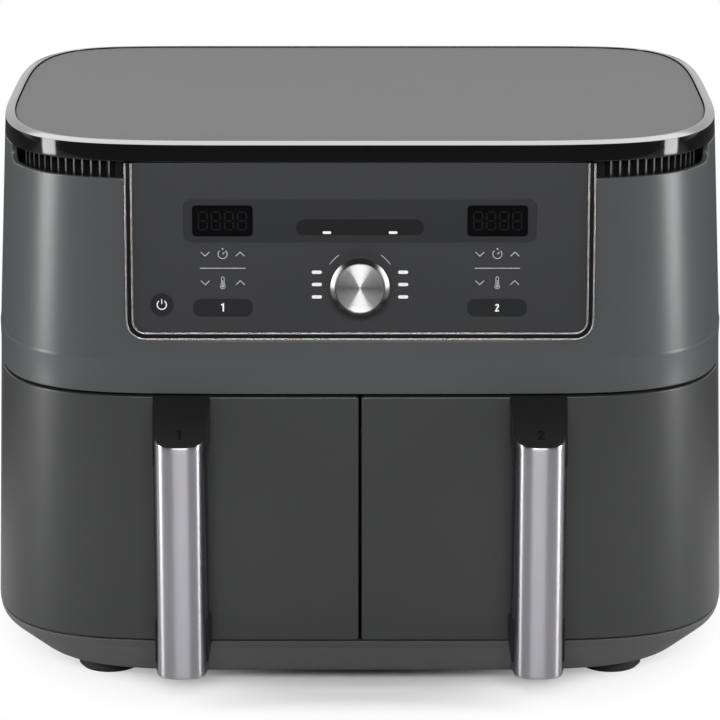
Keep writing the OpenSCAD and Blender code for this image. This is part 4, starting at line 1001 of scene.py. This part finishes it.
def seven_segments(x, y, width, height, thick):
    """The seven bars of an unlit digit."""
    gap = 0.25
    bars = []
    for row in (-1, 0, 1):
        cy = y + row * (height - thick) / 2
        bars.append(round_rect(width - 2 * thick - gap, thick, thick / 3, (x, cy)))
    for side in (-1, 1):
        for row in (-1, 1):
            centre = (x + side * (width - thick) / 2, y + row * (height - thick) / 4)
            bars.append(round_rect(thick, (height - thick) / 2 - gap - thick / 2, thick / 3, centre))
    return bars


def raised(outlines, top, low):
    """Points and faces of flat shapes between two heights."""
    parts = []
    for outline in outlines:
        after = np.roll(outline, -1, 0)
        area = np.sum(outline[:, 0] * after[:, 1] - after[:, 0] * outline[:, 1])
        uv, _, triangles, rims = patch(outline if area > 0 else outline[::-1], fillet=0)
        parts.append(slab(at_height(uv, top), at_height(uv, low), triangles, rims))
    return joined(parts)


def marks(name, outlines, material, top=GLASS_TOP):
    """Thin raised print on the panel, one piece for a list of outlines."""
    points, faces = raised(outlines, top, low=-0.1)
    piece(name, on_panel(points), faces, material, "housing")


def make_marks():
    """All print on the fascia and behind its window, alike on both sides of the dial. The lit lamps,
    numbers and power sign are painted light: white marks for their glow.
    """
    lines, lamps_on, pads, glass, digits = [], [], [], [], []
    for number, side in (("1", -1), ("2", 1)):
        x = side * ZONE_X
        for row in (UPPER_KEYS, LOWER_KEYS):
            lines += [chevron(x - KEY_STEP, row, -1), chevron(x + KEY_STEP, row, 1)]
        lines += clock(x, UPPER_KEYS) + thermometer(x, LOWER_KEYS)
        lines.append(stroke([(x - DIVIDER_HALF, DIVIDER), (x + DIVIDER_HALF, DIVIDER)], LINE_W))
        lines.append(stroke(bow((0, 0), DIAL_ARC_R, *DIAL_ARCS[side]), LINE_W))
        width, height, rise = ZONE_PAD
        pads.append(round_rect(width, height, height / 2 - 0.4, (x, rise)))
        lamps_on += numeral(number, x, rise, height=4.2, width=0.75)
        width, height, rise = DISPLAY
        glass.append(round_rect(width, height, GLASS_R, (x, rise)))
        for place in (-1.5, -0.5, 0.5, 1.5):
            digits += seven_segments(x + place * DIGIT_STEP, rise, *DIGIT)
        for row in LAMP_ROWS:
            lamps_on.append(round_rect(*LAMP, (side * LAMP_X, row)))
        lamps_on.append(round_rect(*PILL_LAMP, (side * PILL_LAMP_X, PILL_LAMP_RISE)))
    pads.append(bow(POWER, POWER_PAD_R, 0, 354, 59))
    lamps_on += power_icon(*POWER)
    width, height, rise = PILL
    lens_pads = [round_rect(width, height, height / 2 - 0.05, (0, rise))]
    marks("panel_icons", lines, mark_grey, MARK_TOP)
    # Painted light: the lit lamps' glow as white marks.
    marks("panel_lamps", lamps_on, lit_lamp_white, MARK_TOP + 0.02)
    marks("panel_pads", pads, pad_dark)
    marks("lens_pill", lens_pads, pill_dark)
    marks("display_glass", glass, display_black)
    marks("display_digits", digits, digit_grey, GLASS_TOP + 0.015)


# ---- dial


def make_dial():
    """Spun face, bevel and undercut side, about the dial's own axis; the side and bevel are its metal
    with painted shade, a much darker colour.
    """
    bore, stand, foot_r = 3.02, 1.9, 13.9
    belt_low, belt_high = 8.6, 9.2
    rim_r, face_r, face_z = 13.4, 13.0, DIAL_H - 0.2
    profile = rounded(
        [
            (bore, stand), (foot_r, stand), (DIAL_R, belt_low), (DIAL_R, belt_high),
            (rim_r, DIAL_H), (face_r, face_z), (0.0, face_z),
        ],
        [0, 0.5, 0.3, 0.5, 0.12, 0.1, 0], closed=False,
    )
    profile[-1:] = [(radius, face_z) for radius in (10.0, 7.0, 4.0, 1.5, 0.4, 0.0)]
    points, faces = lathe(profile)
    obj = piece(
        "dial_cap", points, faces, spun_metal_shaded, "dial", ["dial_knob"],
        sharp=30.0, place=PANEL_AT,
    )
    obj.data.materials.append(spun_face)
    for polygon in obj.data.polygons:
        if polygon.center.z > (face_z - 0.1) * MM and polygon.center.xy.length < face_r * MM:
            polygon.material_index = 1


# ---- carried-over CAD pieces

CAD_FINISH = {
    "rubber_feet": rubber, "rear_cover": rear_black, "case_screws": screw_steel,
    "vent_louvres": vent_black, "display_modules": component_dark, "control_board": board_green,
    "encoder_body": steel, "encoder_plunger": steel, "dial_shaft": steel, "bay_frame": frame_black,
    "bay_divider": insulation, "cavity_left": steel, "cavity_right": steel, "bay_rails": steel,
    "heater_shrouds": steel, "exhaust_ducts": steel, "heating_elements": element_dark,
    "element_guards": steel, "temperature_sensors": brass, "thermal_fuses": fuse_white,
    "drawer_switches": component_dark, "motor_deck": steel, "fan_motors": motor_dark,
    "motor_bearings": brass, "power_board": board_green, "power_components": component_dark,
    "cord_inlet": rear_black,
}
for end in ("left", "right"):
    CAD_FINISH.update({
        f"motor_shaft_{end}": steel, f"impeller_{end}": steel, f"cooling_fan_{end}": fan_plastic,
        f"drawer_backing_{end}": frame_black, f"basket_{end}": basket_coat,
        f"crisper_plate_{end}": basket_coat, f"crisper_feet_{end}": silicone,
        f"handle_core_{end}": handle_black, f"handle_screws_{end}": screw_steel,
    })


def finish_cad(name, material):
    """Gives a CAD node its material, welded smooth shading and slightly broken edges."""
    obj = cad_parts[name]
    obj.data.materials.clear()
    obj.data.materials.append(material)
    weld = obj.modifiers.new("weld", "WELD")
    weld.merge_threshold = 1e-5
    bevel = obj.modifiers.new("edges", "BEVEL")
    bevel.width = 0.0002
    bevel.segments = 2
    bevel.limit_method = "ANGLE"
    bevel.angle_limit = math.radians(40)
    obj.data.shade_smooth()
    even = obj.modifiers.new("normals", "WEIGHTED_NORMAL")
    even.weight = 90


# ---- room, lamps and camera


def ramp(tree, value, low, high, start=0.0, end=1.0):
    """Maps a value smoothly from low..high onto start..end."""
    reach = node(tree, "MapRange")
    reach.interpolation_type = "SMOOTHSTEP"
    for socket, number in zip(("From Min", "From Max", "To Min", "To Max"), (low, high, start, end)):
        reach.inputs[socket].default_value = number
    tree.links.new(value, reach.inputs["Value"])
    return reach.outputs["Result"]


def make_floor():
    """Pale floor with the object's shadow, which the camera sees turn white further out.

    To other rays it is darker, and more so towards the back: painted shade for the reflections.
    """
    mesh = bpy.data.meshes.new("floor")
    front, back, side = -0.95, 6.0, 3.0
    mesh.from_pydata(
        [(-side, front, 0), (side, front, 0), (side, back, 0), (-side, back, 0)], [], [(0, 1, 2, 3)]
    )
    obj = bpy.data.objects.new("floor", mesh)
    scene.collection.objects.link(obj)
    material = bpy.data.materials.new("floor")
    material.use_nodes = True
    tree = material.node_tree
    link = tree.links.new
    shader = tree.nodes["Principled BSDF"]
    shader.inputs["Roughness"].default_value = 0.9
    shader.inputs["Specular IOR Level"].default_value = 0.0
    place = node(tree, "TexCoord")
    axes = node(tree, "SeparateXYZ")
    link(place.outputs["Object"], axes.inputs["Vector"])
    # Painted shade: the floor's colour for reflected and bounced light darkens towards the back.
    painted_shade_bounce = ramp(tree, axes.outputs["Y"], low=0.0, high=0.4, start=0.45, end=0.06)
    rays = node(tree, "LightPath")
    mix = node(tree, "Mix")
    mix.data_type = "RGBA"
    mix.inputs[7].default_value = (0.95, 0.95, 0.95, 1)
    link(painted_shade_bounce, mix.inputs[6])
    link(rays.outputs["Is Camera Ray"], mix.inputs["Factor"])
    link(mix.outputs[2], shader.inputs["Base Color"])
    reach = node(tree, "VectorMath")
    reach.operation = "LENGTH"
    link(place.outputs["Object"], reach.inputs[0])
    both = node(tree, "Math")
    both.operation = "MULTIPLY"
    link(ramp(tree, reach.outputs["Value"], low=0.1, high=0.24), both.inputs[0])
    link(rays.outputs["Is Camera Ray"], both.inputs[1])
    white = node(tree, "Emission")
    blend = node(tree, "MixShader")
    link(both.outputs["Value"], blend.inputs["Fac"])
    link(shader.outputs["BSDF"], blend.inputs[1])
    link(white.outputs["Emission"], blend.inputs[2])
    link(blend.outputs["Shader"], tree.nodes["Material Output"].inputs["Surface"])
    mesh.materials.append(material)


def lamp(name, place, target, width, height, power):
    """Soft box, in metres and watts, aimed at a point."""
    data = bpy.data.lights.new(name, "AREA")
    data.shape = "RECTANGLE"
    data.size = width
    data.size_y = height
    data.energy = power
    obj = bpy.data.objects.new(name, data)
    obj.location = place
    aim = Vector(target) - Vector(place)
    obj.rotation_euler = aim.to_track_quat("-Z", "Y").to_euler()
    obj.visible_camera = False
    scene.collection.objects.link(obj)


def make_world():
    """White to the camera, and a soft gradient from the back for light and reflections."""
    tip = 0.15
    world = bpy.data.worlds.new("studio")
    scene.world = world
    world.use_nodes = True
    tree = world.node_tree
    link = tree.links.new
    tree.nodes.clear()
    place = node(tree, "TexCoord")
    axes = node(tree, "SeparateXYZ")
    link(place.outputs["Generated"], axes.inputs["Vector"])
    height = node(tree, "Math")
    height.operation = "MULTIPLY_ADD"
    height.inputs[1].default_value = tip
    link(axes.outputs["Z"], height.inputs[0])
    link(axes.outputs["Y"], height.inputs[2])
    level = ramp(tree, height.outputs["Value"], low=0.0, high=0.6, start=0.07, end=1.0)
    room = node(tree, "Background")
    link(level, room.inputs["Strength"])
    white = node(tree, "Background", Color=(1, 1, 1, 1), Strength=1.0)
    rays = node(tree, "LightPath")
    mix = node(tree, "MixShader")
    out = node(tree, "OutputWorld")
    link(rays.outputs["Is Camera Ray"], mix.inputs["Fac"])
    link(room.outputs["Background"], mix.inputs[1])
    link(white.outputs["Background"], mix.inputs[2])
    link(mix.outputs["Shader"], out.inputs["Surface"])


CAMERA_PITCH = 14.72
CAMERA_Y = PLAN_Y * MM - 2.1391
CAMERA_Z = 0.7078
CAMERA_LENS = 190.15


def make_camera():
    data = bpy.data.cameras.new("camera")
    data.sensor_width = 36.0
    data.lens = CAMERA_LENS
    data.clip_start = 0.05
    data.clip_end = 20.0
    obj = bpy.data.objects.new("camera", data)
    obj.location = (0, CAMERA_Y, CAMERA_Z)
    obj.rotation_euler = (math.radians(90 - CAMERA_PITCH), 0, 0)
    scene.collection.objects.link(obj)
    scene.camera = obj


# ---- build

make_camera()
make_world()
make_floor()
lamp("top_box", place=(0, 1.3, 1.9), target=(0, 1.1, 0.0), width=3.2, height=2.4, power=34)
lamp("front_box", place=(0, -1.6, 0.92), target=(0, 0, 0.2), width=0.9, height=0.5, power=20)
for end, way in SIDES:
    lamp(
        f"{end}_strip", place=(way * 1.2, -0.31, 0.63), target=(way * 0.17, -0.12, 0.63),
        width=0.34, height=1.2, power=15,
    )

make_casing()
make_base()
make_trim()
make_lid()
for end, way in SIDES:
    make_drawer_front(end, way)
    make_handle_cover(end, way)
    make_numeral(end, way)
make_bezel()
make_fascia()
make_marks()
make_dial()
for node_name, material in CAD_FINISH.items():
    finish_cad(node_name, material)

scene.view_settings.view_transform = "Standard"
